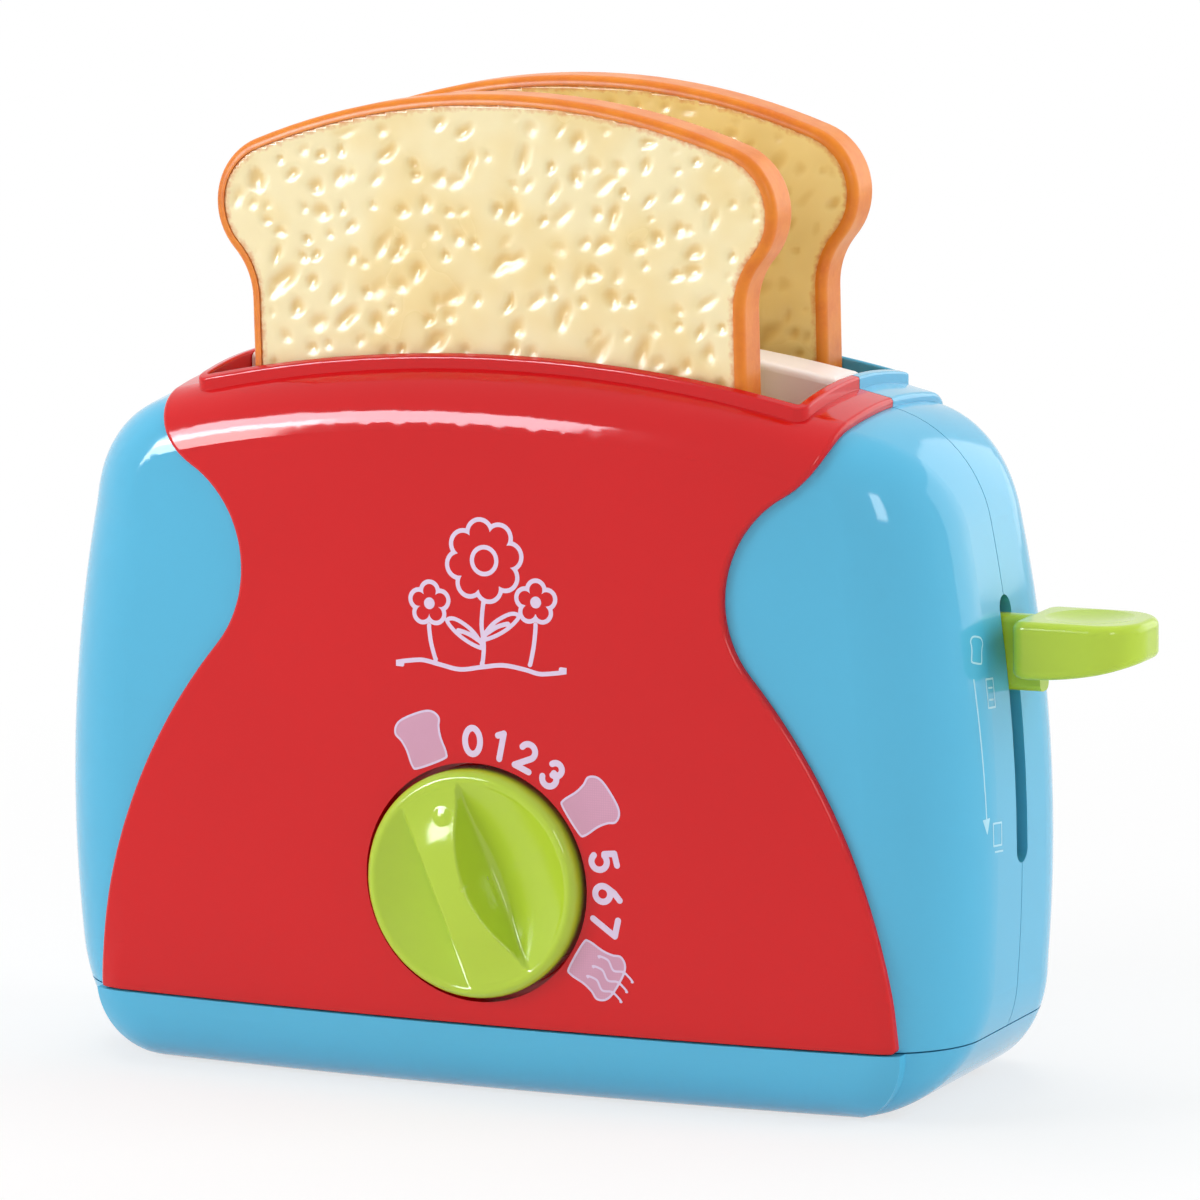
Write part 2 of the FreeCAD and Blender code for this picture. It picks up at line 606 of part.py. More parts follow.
def closed_face(edges):
    """Join edges end to end, bridge each gap with a line, and fill the loop."""
    loop = []
    for edge in edges:
        if loop and (loop[-1].valueAt(loop[-1].LastParameter)
                     - edge.valueAt(edge.FirstParameter)).Length > 1e-6:
            loop.append(Part.LineSegment(loop[-1].valueAt(loop[-1].LastParameter),
                                         edge.valueAt(edge.FirstParameter)).toShape())
        loop.append(edge)
    last = loop[-1].valueAt(loop[-1].LastParameter)
    first = loop[0].valueAt(loop[0].FirstParameter)
    if (last - first).Length > 1e-6:
        loop.append(Part.LineSegment(last, first).toShape())
    return Part.Face(Part.Wire(loop))


def prism(name, face, front, rear):
    """A face in the XZ plane, swept between two depths."""
    shape = face.copy()
    shape.translate(Vector(0, front, 0))
    return feature(name, shape.extrude(Vector(0, rear - front, 0)))


def hourglass_face():
    """The hourglass: skirt, waist and top, each arc tangent to the next."""
    skirt = number("skirt_radius")
    waist = number("waist_radius")
    shoulder = number("shoulder_radius")
    skirt_at = (number("skirt_half_width") - skirt, number("skirt_height"))
    waist_x = number("waist_half_width") + waist
    across = waist_x - skirt_at[0]
    waist_at = (waist_x, skirt_at[1] + math.sqrt((skirt + waist) ** 2 - across ** 2))
    shoulder_x = number("shoulder_half_width") - shoulder
    back = waist_x - shoulder_x
    shoulder_at = (shoulder_x, waist_at[1] + math.sqrt((waist + shoulder) ** 2 - back ** 2))
    lower = math.degrees(math.atan2(waist_at[1] - skirt_at[1], across))
    upper = math.degrees(math.atan2(shoulder_at[1] - waist_at[1], -back))
    below = math.degrees(math.asin(-(skirt_at[1] + 5) / skirt))
    right = [
        arc(skirt_at, skirt, below, lower),
        arc(waist_at, waist, lower + 180, upper),
        arc(shoulder_at, shoulder, upper - 180, 0),
    ]
    mirror = Vector(1, 0, 0)
    left = []
    for edge in reversed(right):
        ends = [edge.valueAt(edge.LastParameter), edge.valueAt(edge.FirstParameter)]
        middle = edge.valueAt((edge.FirstParameter + edge.LastParameter) / 2)
        flipped = [Vector(-point.x, 0, point.z) for point in (ends[0], middle, ends[1])]
        left.append(Part.Arc(*flipped).toShape())
    top = number("crown_height") + 20
    shoulder_edge = number("shoulder_half_width")
    lid = Part.LineSegment(Vector(shoulder_edge, 0, top), Vector(-shoulder_edge, 0, top)).toShape()
    return closed_face(right + [lid] + left)


def apron_face():
    """Front outline of the tray's apron: straight top, rounded lower corners."""
    edge = number("apron_half_width")
    corner = number("apron_corner")
    top = number("tray_top")
    right = arc((edge - corner, corner), corner, -90, 0)
    left = arc((corner - edge, corner), corner, 180, 270)
    lid = Part.LineSegment(Vector(edge, 0, top), Vector(-edge, 0, top)).toShape()
    return closed_face([right, lid, left])


def runs_along(edge, axis):
    """Whether an edge's ends lie one behind the other along an axis."""
    run = edge.Vertexes[-1].Point - edge.Vertexes[0].Point
    return run.Length > 1e-6 and abs(getattr(run, axis)) > 0.999 * run.Length


def rim_block(name, inset, bottom):
    """An upright block with the rim's outline, inset by its wall or not."""
    length = f"(rim_half_length - ({inset}))"
    depth = f"(rim_half_depth - ({inset}))"
    block = box(name + "_block", ("-" + length, length), ("-" + depth, depth), (bottom, FAR))
    radius = number(f"rim_corner - ({inset})")
    return fillet(name, block, lambda edge: (radius, radius) if runs_along(edge, "z") else None)


def half_room(name, side, bottom):
    """The room of one shell: all on its side of the parting plane, above a height."""
    span = ("half_gap", FAR) if side == "1" else (-FAR, "-(half_gap)")
    return box(name, (-FAR, FAR), span, (bottom, FAR))


def rods(name, axis, places, start, length, radius):
    """One cylinder at each place; start is the coordinate along the axis."""
    pieces = []
    for index, (first, second) in enumerate(places, start=1):
        point = (first, second, start) if axis == "z" else (first, start, second)
        pieces.append(rod(f"{name}_{index}", axis, point, length, radius))
    return pieces


# --------------------------------------------------- where the screws are

def base_screws_at(sides=LEFT_RIGHT):
    return [(f"{x} * base_screw_x", f"{y} * base_screw_y") for x in LEFT_RIGHT for y in sides]


def guide_screws_at():
    return [(f"{x} * (foot_x)", f"{y} * foot_distance") for x in LEFT_RIGHT for y in LEFT_RIGHT]


def shell_screws_at():
    return [(f"{x} * {row}_screw_x", f"{row}_screw_z") for x in LEFT_RIGHT
            for row in ("lower", "upper")]


def pegs_at():
    return [(f"{x} * {row}_peg_x", f"{row}_peg_z") for x in LEFT_RIGHT for row in ("low", "high")]


def timer_screws_at():
    return [(f"{x} * lug_x", row) for x in LEFT_RIGHT for row in ("lug_low", "lug_high")]


def cover_screws_at():
    return [(x, z) for x in ("left_post", "right_post") for z in ("bottom_post", "top_post")]


def lever_screws_at():
    return [("lever_screw_x", f"lever_middle + {sign} * (lever_screw_rise)") for sign in LEFT_RIGHT]


# --------------------------------------------------------------- housing

OUTER = body_form("outer_form", "0")
INNER = body_form("inner_form", "-wall")
MIDDLE = body_form("middle_form", "-0.5 * wall")
UNDER = body_form("under_form", "skin_gap")
PANEL_MIDDLE = body_form("panel_middle_form", "0.5 * (skin_gap + raise_height)")
RAISED = body_form("raised_form", "raise_height")
APRON = body_form("apron_form", "raise_height + apron_step")
RIM = body_form("rim_form", "raise_height + rim_rise")
DIVIDER = body_form("divider_form", "raise_height + rim_rise - divider_drop")


def on_face_outline(edge, outline):
    """Whether an edge lies over an outline in the XZ plane."""
    for share in (0.25, 0.5, 0.75):
        point = edge.valueAt(edge.FirstParameter + share * (edge.LastParameter - edge.FirstParameter))
        if outline.distToShape(Part.Vertex(point.x, 0, point.z))[0] > 1e-3:
            return False
    return True


def raised_hourglass(name, side):
    """The raised hourglass of one side with its edge rounded, still solid inside."""
    face = hourglass_face()
    span = (0, FAR) if side == "1" else (-FAR, 0)
    block = common(name + "_block", [RAISED, prism(name + "_prism", face, *span),
                                     half_room(name + "_room", side, "shell_bottom")])
    radius = number("edge_round")

    def outer_edge(edge):
        off_seam = abs(edge.CenterOfMass.y) > number("seam_gap")
        return (radius, radius) if off_seam and on_face_outline(edge, face.OuterWire) else None
    return fillet(name, block, outer_edge)


def rim_ring():
    """The whole rim with its collar; each half is moulded onto its side of the body."""
    ring = cut("rim_blank", common("rim_solid", [RIM, rim_block("rim_outside", "0", "collar_bottom")]),
               [rim_block("rim_inside", "rim_wall", "base_boss_top")])
    radius = number("rim_edge_round")
    return fillet("rim_ring", ring, lambda edge: (radius, radius) if on_top(edge) else None)


def on_top(edge):
    """Whether an edge lies along the top, where the body's form ends the piece."""
    level = number("0.5 * (collar_bottom + crown_height)")
    return edge.CenterOfMass.z > level and not runs_along(edge, "z")


RING = rim_ring()


def base_bosses(name, side):
    """Bosses that the base screws bite into, each with a web to the side wall."""
    places = base_screws_at([side])
    height = "base_boss_top - shell_bottom"
    pieces = rods(name, "z", places, "shell_bottom", height, "boss_radius")
    for index, (x, y) in enumerate(places, start=1):
        span = (x, FAR) if index == 2 else (-FAR, x)
        pieces.append(box(f"{name}_web_{index}", span, (f"{y} - 0.5 * web", f"{y} + 0.5 * web"),
                          ("shell_bottom", "base_boss_top")))
    return pieces


def base_boss_holes(name, side):
    return rods(name, "z", base_screws_at([side]), 0, "base_head_seat + screw_length + spare_depth",
                "screw_radius + seat_gap")


def slot_tool(name):
    """The slot in which the lever travels, with round ends."""
    radius = "0.5 * slot_width"
    inside = "body_half_width - 5 * wall"
    low = f"slot_bottom + {radius}"
    high = f"slot_top - {radius}"
    straight = box(name + "_straight", (inside, FAR), (f"-({radius})", radius), (low, high))
    ends = [rod(f"{name}_end_{index}", "x", (inside, 0, z), FAR, radius)
            for index, z in enumerate((low, high), start=1)]
    return fuse(name, [straight] + ends)


def front_shell():
    """Front half of the blue body: wall, bosses, knob opening and half of the slot."""
    wall = common("front_wall", [cut("front_hollow", OUTER, [INNER]),
                                 half_room("front_half", "-1", "shell_bottom")])
    bosses = base_bosses("front_base_boss", "-1")
    bosses += rods("front_screw_boss", "y", shell_screws_at(), "-half_depth", "half_depth",
                   "boss_radius")
    bosses += rods("front_lug_boss", "y", timer_screws_at(), "-half_depth",
                   "half_depth - lug_front", "boss_radius")
    bosses += rods("front_peg_socket", "y", pegs_at(), "-half_depth", "half_depth - peg_end",
                   "peg_socket")
    inside = common("front_bosses", [fuse("front_boss_set", bosses), MIDDLE,
                                     half_room("front_boss_half", "-1", "shell_bottom")])
    tools = base_boss_holes("front_base_hole", "-1")
    tools += rods("front_screw_hole", "y", shell_screws_at(),
                  "shell_head_seat - screw_length - spare_depth", "screw_length + spare_depth",
                  "screw_radius + seat_gap")
    tools += rods("front_lug_hole", "y", timer_screws_at(), "-(case_front)", "case_front",
                  "small_screw + seat_gap")
    tools += rods("front_peg_hole", "y", pegs_at(), -FAR, FAR, "panel_peg + seat_gap")
    tools.append(rim_block("front_well", "-fit_gap", "base_boss_top"))
    tools.append(slot_tool("front_slot"))
    tools.append(rod("front_knob_hole", "y", (0, -FAR, "knob_height"), f"{FAR} - lug_front",
                     "knob_hole + cup_wall + fit_gap"))
    node(cut("front_shell_body", fuse("front_solid", [wall, inside]), tools), "front_shell")


def rear_shell():
    """Rear half of the blue body with the hourglass and half of the rim moulded on."""
    wall = common("rear_wall", [cut("rear_hollow", OUTER, [INNER]),
                                half_room("rear_half", "1", "shell_bottom")])
    raised = cut("rear_raised", raised_hourglass("rear_hourglass", "1"), [MIDDLE])
    collar = common("rear_collar", [RING, half_room("rear_collar_half", "1", "collar_bottom")])
    bosses = base_bosses("rear_base_boss", "1")
    bosses += rods("rear_screw_boss", "y", shell_screws_at(), 0, "half_depth",
                   "counterbore + bore_wall")
    inside = common("rear_bosses", [fuse("rear_boss_set", bosses), MIDDLE,
                                    half_room("rear_boss_half", "1", "shell_bottom")])
    tools = base_boss_holes("rear_base_hole", "1")
    tools += rods("rear_screw_hole", "y", shell_screws_at(), "-wall", FAR, "clearance_hole")
    tools += rods("rear_counterbore", "y", shell_screws_at(), "shell_head_seat", FAR, "counterbore")
    tools.append(rim_block("rear_well", "rim_wall", "base_boss_top"))
    tools.append(slot_tool("rear_slot"))
    body = fuse("rear_solid", [wall, raised, collar, inside])
    node(cut("rear_shell_body", body, tools), "rear_shell")


def front_panel():
    """The red hourglass: skin over the front shell, half of the rim, knob cup and pegs."""
    skin = cut("panel_skin", raised_hourglass("panel_hourglass", "-1"), [UNDER])
    collar = common("panel_collar", [RING, half_room("panel_collar_half", "-1", "collar_bottom")])
    cup = rod("panel_cup", "y", (0, "-(panel_face)", "knob_height"), "panel_face - cup_back",
              "knob_hole + cup_wall")
    pegs = rods("panel_peg", "y", pegs_at(), "-(panel_face)", "panel_face - peg_end", "panel_peg")
    inside = common("panel_inside", [fuse("panel_inside_set", [cup] + pegs), PANEL_MIDDLE])
    tools = [rim_block("panel_well", "rim_wall", "base_boss_top")]
    tools.append(rod("panel_recess", "y", (0, -FAR, "knob_height"), f"{FAR} - (cup_floor)",
                     "knob_hole"))
    tools.append(rod("panel_shaft_hole", "y", (0, -FAR, "knob_height"), FAR,
                     "shaft_radius + knob_back_gap"))
    tools += rods("panel_peg_hole", "y", pegs_at(), "-peg_end - panel_screw_length - 0.5 * seam_gap",
                  "2 * panel_screw_length", "small_screw + seat_gap")
    node(cut("front_panel_body", fuse("panel_solid", [skin, collar, inside]), tools), "front_panel")


def base_tray():
    """Blue tray under the shells, with the apron that frames the panel's lower edge."""
    room = box("tray_room", (-FAR, FAR), (-FAR, FAR), (0, "tray_top"))
    shell = common("tray_shell", [cut("tray_hollow", OUTER, [INNER]), room])
    apron = common("tray_apron", [cut("tray_apron_skin", APRON, [INNER]),
                                  prism("tray_apron_outline", apron_face(), -FAR, FAR)])
    sockets_at = [(f"{side} * rod_distance", 0) for side in LEFT_RIGHT]
    posts = rods("tray_boss", "z", base_screws_at(), 0, "shell_bottom", "counterbore + bore_wall")
    posts += rods("tray_socket", "z", sockets_at, 0, "socket_top", "socket_radius")
    posts += rods("tray_foot_seat", "z", guide_screws_at(), 0, "guide_seat", "counterbore + bore_wall")
    inside = common("tray_posts", [fuse("tray_post_set", posts), MIDDLE])
    tools = rods("tray_hole", "z", base_screws_at(), -1, FAR, "clearance_hole")
    tools += rods("tray_counterbore", "z", base_screws_at(), -1, "base_head_seat + 1", "counterbore")
    tools += rods("tray_rod_hole", "z", sockets_at, "rod_bottom", FAR, "rod_radius + seat_gap")
    tools += rods("tray_foot_hole", "z", guide_screws_at(), -1, FAR, "small_screw + small_clearance")
    tools += rods("tray_foot_bore", "z", guide_screws_at(), -1, "guide_screw_seat + 1",
                  "small_head + fit_gap")
    node(cut("base_tray_body", fuse("tray_solid", [shell, apron, inside]), tools), "base_tray")


# ------------------------------------------- bread guide, rods and springs

def guide_side(side):
    """End wall, rod lug and long wall of the guide on one side."""
    def mirrored(low, high):
        return (low, high) if side == "1" else (f"-({high})", f"-({low})")
    depth = "guide_half_depth + guide_wall"
    lug = mirrored("guide_end", "rod_distance + socket_radius")
    return [
        box(f"guide_end_{side}", mirrored("guide_end", "guide_outer"),
            ("-guide_half_depth", "guide_half_depth"), ("guide_seat", "guide_top")),
        box(f"guide_lug_{side}", lug, ("-lug_half_depth", "lug_half_depth"),
            ("lug_bottom", "lug_bottom + lug_height")),
        box(f"guide_long_wall_{side}", ("-(guide_outer)", "guide_outer"),
            mirrored("guide_half_depth", depth), ("guide_bottom", "guide_top")),
    ]


def guide_feet():
    pieces = []
    for index, (x, y) in enumerate(guide_screws_at(), start=1):
        pieces.append(box(f"guide_foot_{index}", (f"{x} - 0.5 * foot_length", f"{x} + 0.5 * foot_length"),
                          (f"{y} - foot_half_depth", f"{y} + foot_half_depth"),
                          ("guide_seat", "guide_seat + foot_height")))
    return pieces


def bread_guide():
    """White moulding: divider between the slots, walls round them, feet on the tray."""
    across = ("-divider_half_depth", "divider_half_depth")
    length = "divider_half_length"
    block = common("divider_blank", [DIVIDER, box("divider_block", (f"-({length})", length), across,
                                                  ("guide_bottom", FAR))])
    radius = number("divider_round")
    head = fillet("divider_head", block, lambda edge: (radius, radius) if on_top(edge) else None)
    root = box("divider_root", ("-guide_end", "guide_end"), across, ("guide_bottom", "guide_top"))
    pieces = [head, root] + guide_side("-1") + guide_side("1") + guide_feet()
    inner = "divider_half_length - guide_wall"
    bore = common("divider_bore", [INNER, box("divider_bore_block", (f"-({inner})", inner),
                                              ("guide_wall - divider_half_depth",
                                               "divider_half_depth - guide_wall"),
                                              ("guide_bottom - guide_wall", FAR))])
    arm = "arm_half_depth + arm_window_gap"
    window = box("guide_windows", ("-guide_outer - wall", "guide_outer + wall"), (f"-({arm})", arm),
                 ("shelf_bottom - travel - wall", "shelf_bottom + crossbar_height + wall"))
    rod_holes = rods("guide_rod_hole", "z", [(f"{side} * rod_distance", 0) for side in LEFT_RIGHT],
                     "lug_bottom - wall", "lug_height + 2 * wall", "rod_radius + seat_gap")
    foot_holes = rods("guide_foot_hole", "z", guide_screws_at(), 0,
                      "guide_screw_seat + small_length + 0.5 * spare_depth", "small_screw + seat_gap")
    tools = [bore, window] + rod_holes + foot_holes
    node(cut("bread_guide_body", fuse("guide_solid", pieces), tools), "bread_guide")


def guide_rods():
    for side, label in zip(LEFT_RIGHT, ("guide_rod_left", "guide_rod_right")):
        node(rod(label + "_bar", "z", (f"{side} * rod_distance", 0, "rod_bottom"),
                 "rod_top - rod_bottom", "rod_radius"), label)


def coil(radius, wire, length, turns):
    """A helical spring round the Z axis, whose wire's axis starts at Z = 0."""
    path = Part.makeHelix(length / turns, length, radius)
    section = Part.Wire(Part.makeCircle(wire, Vector(radius, 0, 0), Vector(0, 1, 0)))
    return Part.Wire(path).makePipeShell([section], True, True)


def lift_springs():
    wire = number("spring_wire")
    low = number("spring_bottom") + wire
    length = number("spring_top") - wire - low
    for side, label in zip((-1, 1), ("lift_spring_left", "lift_spring_right")):
        shape = coil(number("spring_radius"), wire, length, number("spring_turns"))
        piece = feature(label + "_coil", shape)
        piece.Placement = Placement(Vector(side * number("rod_distance"), 0, low), Rotation())
        node(piece, label)


# ---------------------------------------------------- carriage and lever

def shelf(side):
    """One bread shelf with its two lips."""
    def mirrored(low, high):
        return (low, high) if side == "1" else (f"-({high})", f"-({low})")
    along = ("-crossbar_end", "crossbar_end")
    lips = ("-shelf_half_length", "shelf_half_length")
    return [
        box(f"shelf_{side}", along, mirrored("shelf_inner", "shelf_outer"),
            ("shelf_bottom", "slice_bottom")),
        box(f"outer_lip_{side}", lips, mirrored("lip_outer", "shelf_outer"),
            ("shelf_bottom", "slice_bottom + outer_lip")),
        box(f"inner_lip_{side}", lips, mirrored("shelf_inner", "lip_inner"),
            ("shelf_bottom", "slice_bottom + inner_lip")),
    ]


def carriage_end(side):
    """Crossbar, arm and bush on one side."""
    def mirrored(low, high):
        return (low, high) if side == "1" else (f"-({high})", f"-({low})")
    height = ("shelf_bottom", "shelf_bottom + crossbar_height")
    return [
        box(f"crossbar_{side}", mirrored("shelf_half_length", "crossbar_end"),
            ("-(shelf_outer)", "shelf_outer"), height),
        box(f"arm_{side}", mirrored("shelf_half_length", "rod_distance"),
            ("-arm_half_depth", "arm_half_depth"), height),
        rod(f"bush_{side}", "z", (f"{side} * rod_distance", 0, "bush_bottom"), "bush_height",
            "bush_radius"),
    ]


def latch_post():
    """The post under the front shelf whose tooth the latch holds."""
    width = ("post_left", "post_left + post_width")
    depth = ("post_near", "post_rear")
    return [
        box("post_tab", width, ("-(lip_inner)", "post_rear"), ("shelf_bottom", "slice_bottom")),
        box("post", width, depth, ("post_bottom", "slice_bottom")),
        box("post_tooth", ("post_left - tooth_reach", "post_left + 0.5 * post_width"), depth,
            ("post_bottom", "post_bottom + tooth_height")),
    ]


def carriage():
    """The lift: two shelves, end bars, bushes on the rods, lever plate and latch post."""
    pieces = shelf("-1") + shelf("1") + carriage_end("-1") + carriage_end("1") + latch_post()
    pieces.append(box("lever_plate", ("rod_distance", "ear_plate_outer"), ("plate_front", "plate_rear"),
                      ("ear_plate_low", "ear_plate_high")))
    tools = rods("bush_bore", "z", [(f"{side} * rod_distance", 0) for side in LEFT_RIGHT],
                 "rod_bottom", "rod_top", "rod_radius + running_gap")
    tools += rods("plate_hole", "y", lever_screws_at(), 0, "2 * plate_rear",
                  "small_screw + seat_gap")
    node(cut("carriage_body", fuse("carriage_solid", pieces), tools), "carriage")


def paddle_underside():
    """What is taken off under the paddle, so that it thins towards its tip."""
    low = number("paddle_low")
    start = number("paddle_inner + paddle_back_radius")
    run = number("paddle_outer") - start
    lift = number("paddle_tip_lift")
    radius = (run ** 2 + lift ** 2) / (2 * lift)
    angle = math.degrees(math.asin(run / radius))
    curve = arc((start, low + radius), radius, -90, angle - 90)
    below = Part.LineSegment(Vector(start + run, 0, low - lift), Vector(start, 0, low - lift)).toShape()
    depth = number("paddle_half_depth") * 2
    return prism("paddle_thinning", closed_face([curve, below]), -depth, depth)


def lever():
    """The green lever: a flat stem through the slot and a dished paddle."""
    bar = box("lever_bar", ("lever_inner", "paddle_inner + paddle_back_radius"),
              ("-lever_half_thickness", "lever_half_thickness"), ("lever_low", "lever_high"))
    stem_round = number("stem_round")
    stem = fillet("lever_stem", bar, lambda edge: (stem_round, stem_round)
                  if runs_along(edge, "x") else None)
    block = box("paddle_block", ("paddle_inner", "paddle_outer"),
                ("-paddle_half_depth", "paddle_half_depth"), ("paddle_low", "paddle_high"))
    middle = number("0.5 * (paddle_inner + paddle_outer)")
    tip = number("paddle_tip_radius")
    back = number("paddle_back_radius")

    def corner(edge):
        if not runs_along(edge, "z"):
            return None
        return (tip, tip) if edge.CenterOfMass.x > middle else (back, back)
    plan = fillet("paddle_plan", block, corner)
    thinned = cut("paddle_thinned", plan, [paddle_underside()])
    soft = number("paddle_round")

    def on_outline(edge):
        inner = edge.CenterOfMass
        crosses = inner.x > middle - 1 and abs(inner.y) < 1 and inner.x < middle + 1
        return None if runs_along(edge, "z") or crosses else (soft, soft)
    rounded = fillet("paddle_rounded", thinned, on_outline)
    dish = ball("paddle_dish", ("0.5 * (paddle_inner + paddle_outer)", 0,
                                "paddle_high - paddle_dish_depth + paddle_dish_radius"),
                "paddle_dish_radius")
    body = fuse("lever_solid", [stem, cut("paddle", rounded, [dish])])
    holes = rods("stem_hole", "y", lever_screws_at(), "-2 * lever_half_thickness",
                 "4 * lever_half_thickness", "small_screw + seat_gap")
    node(cut("lever_body", body, holes), "lever")


# ------------------------------------------------------------ toast slices

def slice_face(inset):
    """Outline of a slice, inset by an amount; the full outline stands on Z = 0."""
    ear_x = number("ear_half_width - ear_radius")
    ear_z = number("ear_height")
    neck_x = number("slice_half_width + neck_radius")
    reach = number("neck_radius + ear_radius")
    neck_z = ear_z - math.sqrt(reach ** 2 - (neck_x - ear_x) ** 2)
    rise = number("slice_height") - ear_z
    ear = number("ear_radius")
    crest = (ear_x ** 2 + rise ** 2 - ear ** 2) / (2 * (rise - ear))
    crest_z = number("slice_height") - crest
    corner_x = number("slice_half_width - slice_corner")
    corner_z = number("slice_corner")
    turn = math.degrees(math.atan2(ear_z - neck_z, ear_x - neck_x))
    lean = math.degrees(math.atan2(ear_z - crest_z, ear_x))
    corner = corner_z - inset
    neck = number("neck_radius") + inset
    return closed_face([
        arc((corner_x, corner_z), corner, -90, 0),
        arc((neck_x, neck_z), neck, 180, turn),
        arc((ear_x, ear_z), ear - inset, turn - 180, lean),
        arc((0, crest_z), crest - inset, lean, 180 - lean),
        arc((-ear_x, ear_z), ear - inset, 180 - lean, 360 - turn),
        arc((-neck_x, neck_z), neck, 180 - turn, 0),
        arc((-corner_x, corner_z), corner, 180, 270),
    ])


def toast_slice(where, front):
    """One toy slice: a hollow crumb moulding held in a crust band."""
    thick = number("slice_thickness")
    step = number("crust_step")
    soft = number("crust_round")
    outline = slice_face(0).OuterWire
    hole = prism(where + "_hole", slice_face(number("crust_width")), -step, thick + step)
    band = cut(where + "_band", prism(where + "_full", slice_face(0), 0, thick), [hole])

    def outer_edge(edge):
        middle = edge.valueAt((edge.FirstParameter + edge.LastParameter) / 2)
        flat = Part.Vertex(middle.x, 0, middle.z)
        on_outline = flat.distToShape(outline)[0] < 1e-4
        on_face = min(abs(middle.y), abs(middle.y - thick)) < 1e-4
        return (soft, soft) if on_outline and on_face else None
    crust = fillet(where + "_crust_band", band, outer_edge)
    inset = number("crust_width + crumb_gap")
    wall = number("crumb_wall")
    slab = prism(where + "_crumb_slab", slice_face(inset), step, thick - step)
    hollow = prism(where + "_crumb_hollow", slice_face(inset + wall), step + wall,
                   thick - step - wall)
    crumb = cut(where + "_crumb_solid", slab, [hollow])
    tilt = number("slice_tilt")
    lean = math.radians(tilt)
    lift = (number("slice_half_width - slice_corner") * math.sin(lean)
            + number("slice_corner") * (1 - math.cos(lean)) + number("seat_gap"))
    spot = Placement(Vector(0, front, number("slice_bottom") + lift),
                     Rotation(Vector(0, 1, 0), -tilt))
    for piece, kind in ((crust, "crust"), (crumb, "crumb")):
        piece.Placement = spot
        node(piece, f"{where}_{kind}")


# ---------------------------------------------------------- knob and timer

def knob():
    """Dial knob: a disc with a round finger dish, a drafted grip bar and a pointer dot."""
    blank = rod("knob_blank", "y", (0, "-(knob_front)", "knob_height"), "knob_front - (knob_back)",
                "knob_radius")
    edge_round = number("knob_edge")
    front = -number("knob_front")
    disc = fillet("knob_disc", blank, lambda edge: (edge_round, edge_round)
                  if edge.Closed and abs(edge.CenterOfMass.y - front) < 0.01 else None)
    dish = ball("knob_dish", (0, "-(dish_foot) - dish_sphere", "knob_height"), "dish_sphere")
    bar = DOC.addObject("Part::Wedge", "knob_bar")
    foot = "grip_half_width + grip_draft"
    for side, text in (("Xmin", f"-({foot})"), ("Xmax", foot), ("X2min", "-grip_half_width"),
                       ("X2max", "grip_half_width"), ("Ymin", "0"), ("Ymax", "dish_depth"),
                       ("Zmin", "-knob_radius"), ("Zmax", "knob_radius"),
                       ("Z2min", "-knob_radius"), ("Z2max", "knob_radius")):
        bind(bar, side, text)
    lean = Rotation(Vector(0, 1, 0), -number("pointer_angle"))
    bar.Placement = Placement(Vector(), lean * Rotation(Vector(0, 0, 1), 180))
    place(bar, 0, "-(dish_foot)", "knob_height")
    dot = ball("knob_dot", ("-dot_distance * sin(pointer_angle)",
                            "-(knob_front) - dot_rise + dot_sphere",
                            "knob_height + dot_distance * cos(pointer_angle)"), "dot_sphere")
    dished = cut("knob_dished", disc, [cut("knob_hollows", dish, [bar])])
    bore = rod("knob_bore", "y", (0, "-shaft_front", "knob_height"), "shaft_front",
               "shaft_radius + seat_gap")
    node(cut("knob_body", fuse("knob_solid", [dished, dot]), [bore]), "knob")


def sketch_on(body, name):
    sketch = body.newObject("Sketcher::SketchObject", name)
    sketch.AttachmentSupport = (body.Origin.OriginFeatures[3], [""])
    sketch.MapMode = "FlatFace"
    return sketch


def pad(body, name, sketch, length):
    piece = body.newObject("PartDesign::Pad", name)
    piece.Profile = sketch
    bind(piece, "Length", length)
    sketch.Visibility = False
    return piece


def circle_sketch(body, name, radius):
    sketch = sketch_on(body, name)
    sketch.addGeometry(Part.Circle(Vector(), Vector(0, 0, 1), number(radius)))
    sketch.addConstraint(Sketcher.Constraint("Coincident", 0, 3, -1, 1))
    index = sketch.addConstraint(Sketcher.Constraint("Radius", 0, number(radius)))
    bind(sketch, f"Constraints[{index}]", radius)
    return sketch


def tooth_sketch(body, name, pitch):
    """A tooth that stands on the wheel along its Y axis, with straight flanks."""
    sketch = sketch_on(body, name)
    depth = "dedendum + tooth_sink"
    foot = (f"tooth_half_width + flank_slope * ({depth})", f"{pitch} - ({depth})")
    tip = ("tooth_half_width - flank_slope * addendum", f"{pitch} + addendum")
    corners = [("-1", foot), ("1", foot), ("1", tip), ("-1", tip)]
    points = [Vector(float(side) * number(half), number(up), 0) for side, (half, up) in corners]
    for index, point in enumerate(points):
        sketch.addGeometry(Part.LineSegment(point, points[(index + 1) % 4]))
    for index, (side, (half, up)) in enumerate(corners):
        sketch.addConstraint(Sketcher.Constraint("Coincident", index, 2, (index + 1) % 4, 1))
        for kind, text in (("DistanceX", f"{side} * ({half})"), ("DistanceY", up)):
            spot = sketch.addConstraint(Sketcher.Constraint(kind, -1, 1, index, 1, number(text)))
            bind(sketch, f"Constraints[{spot}]", text)
    return sketch


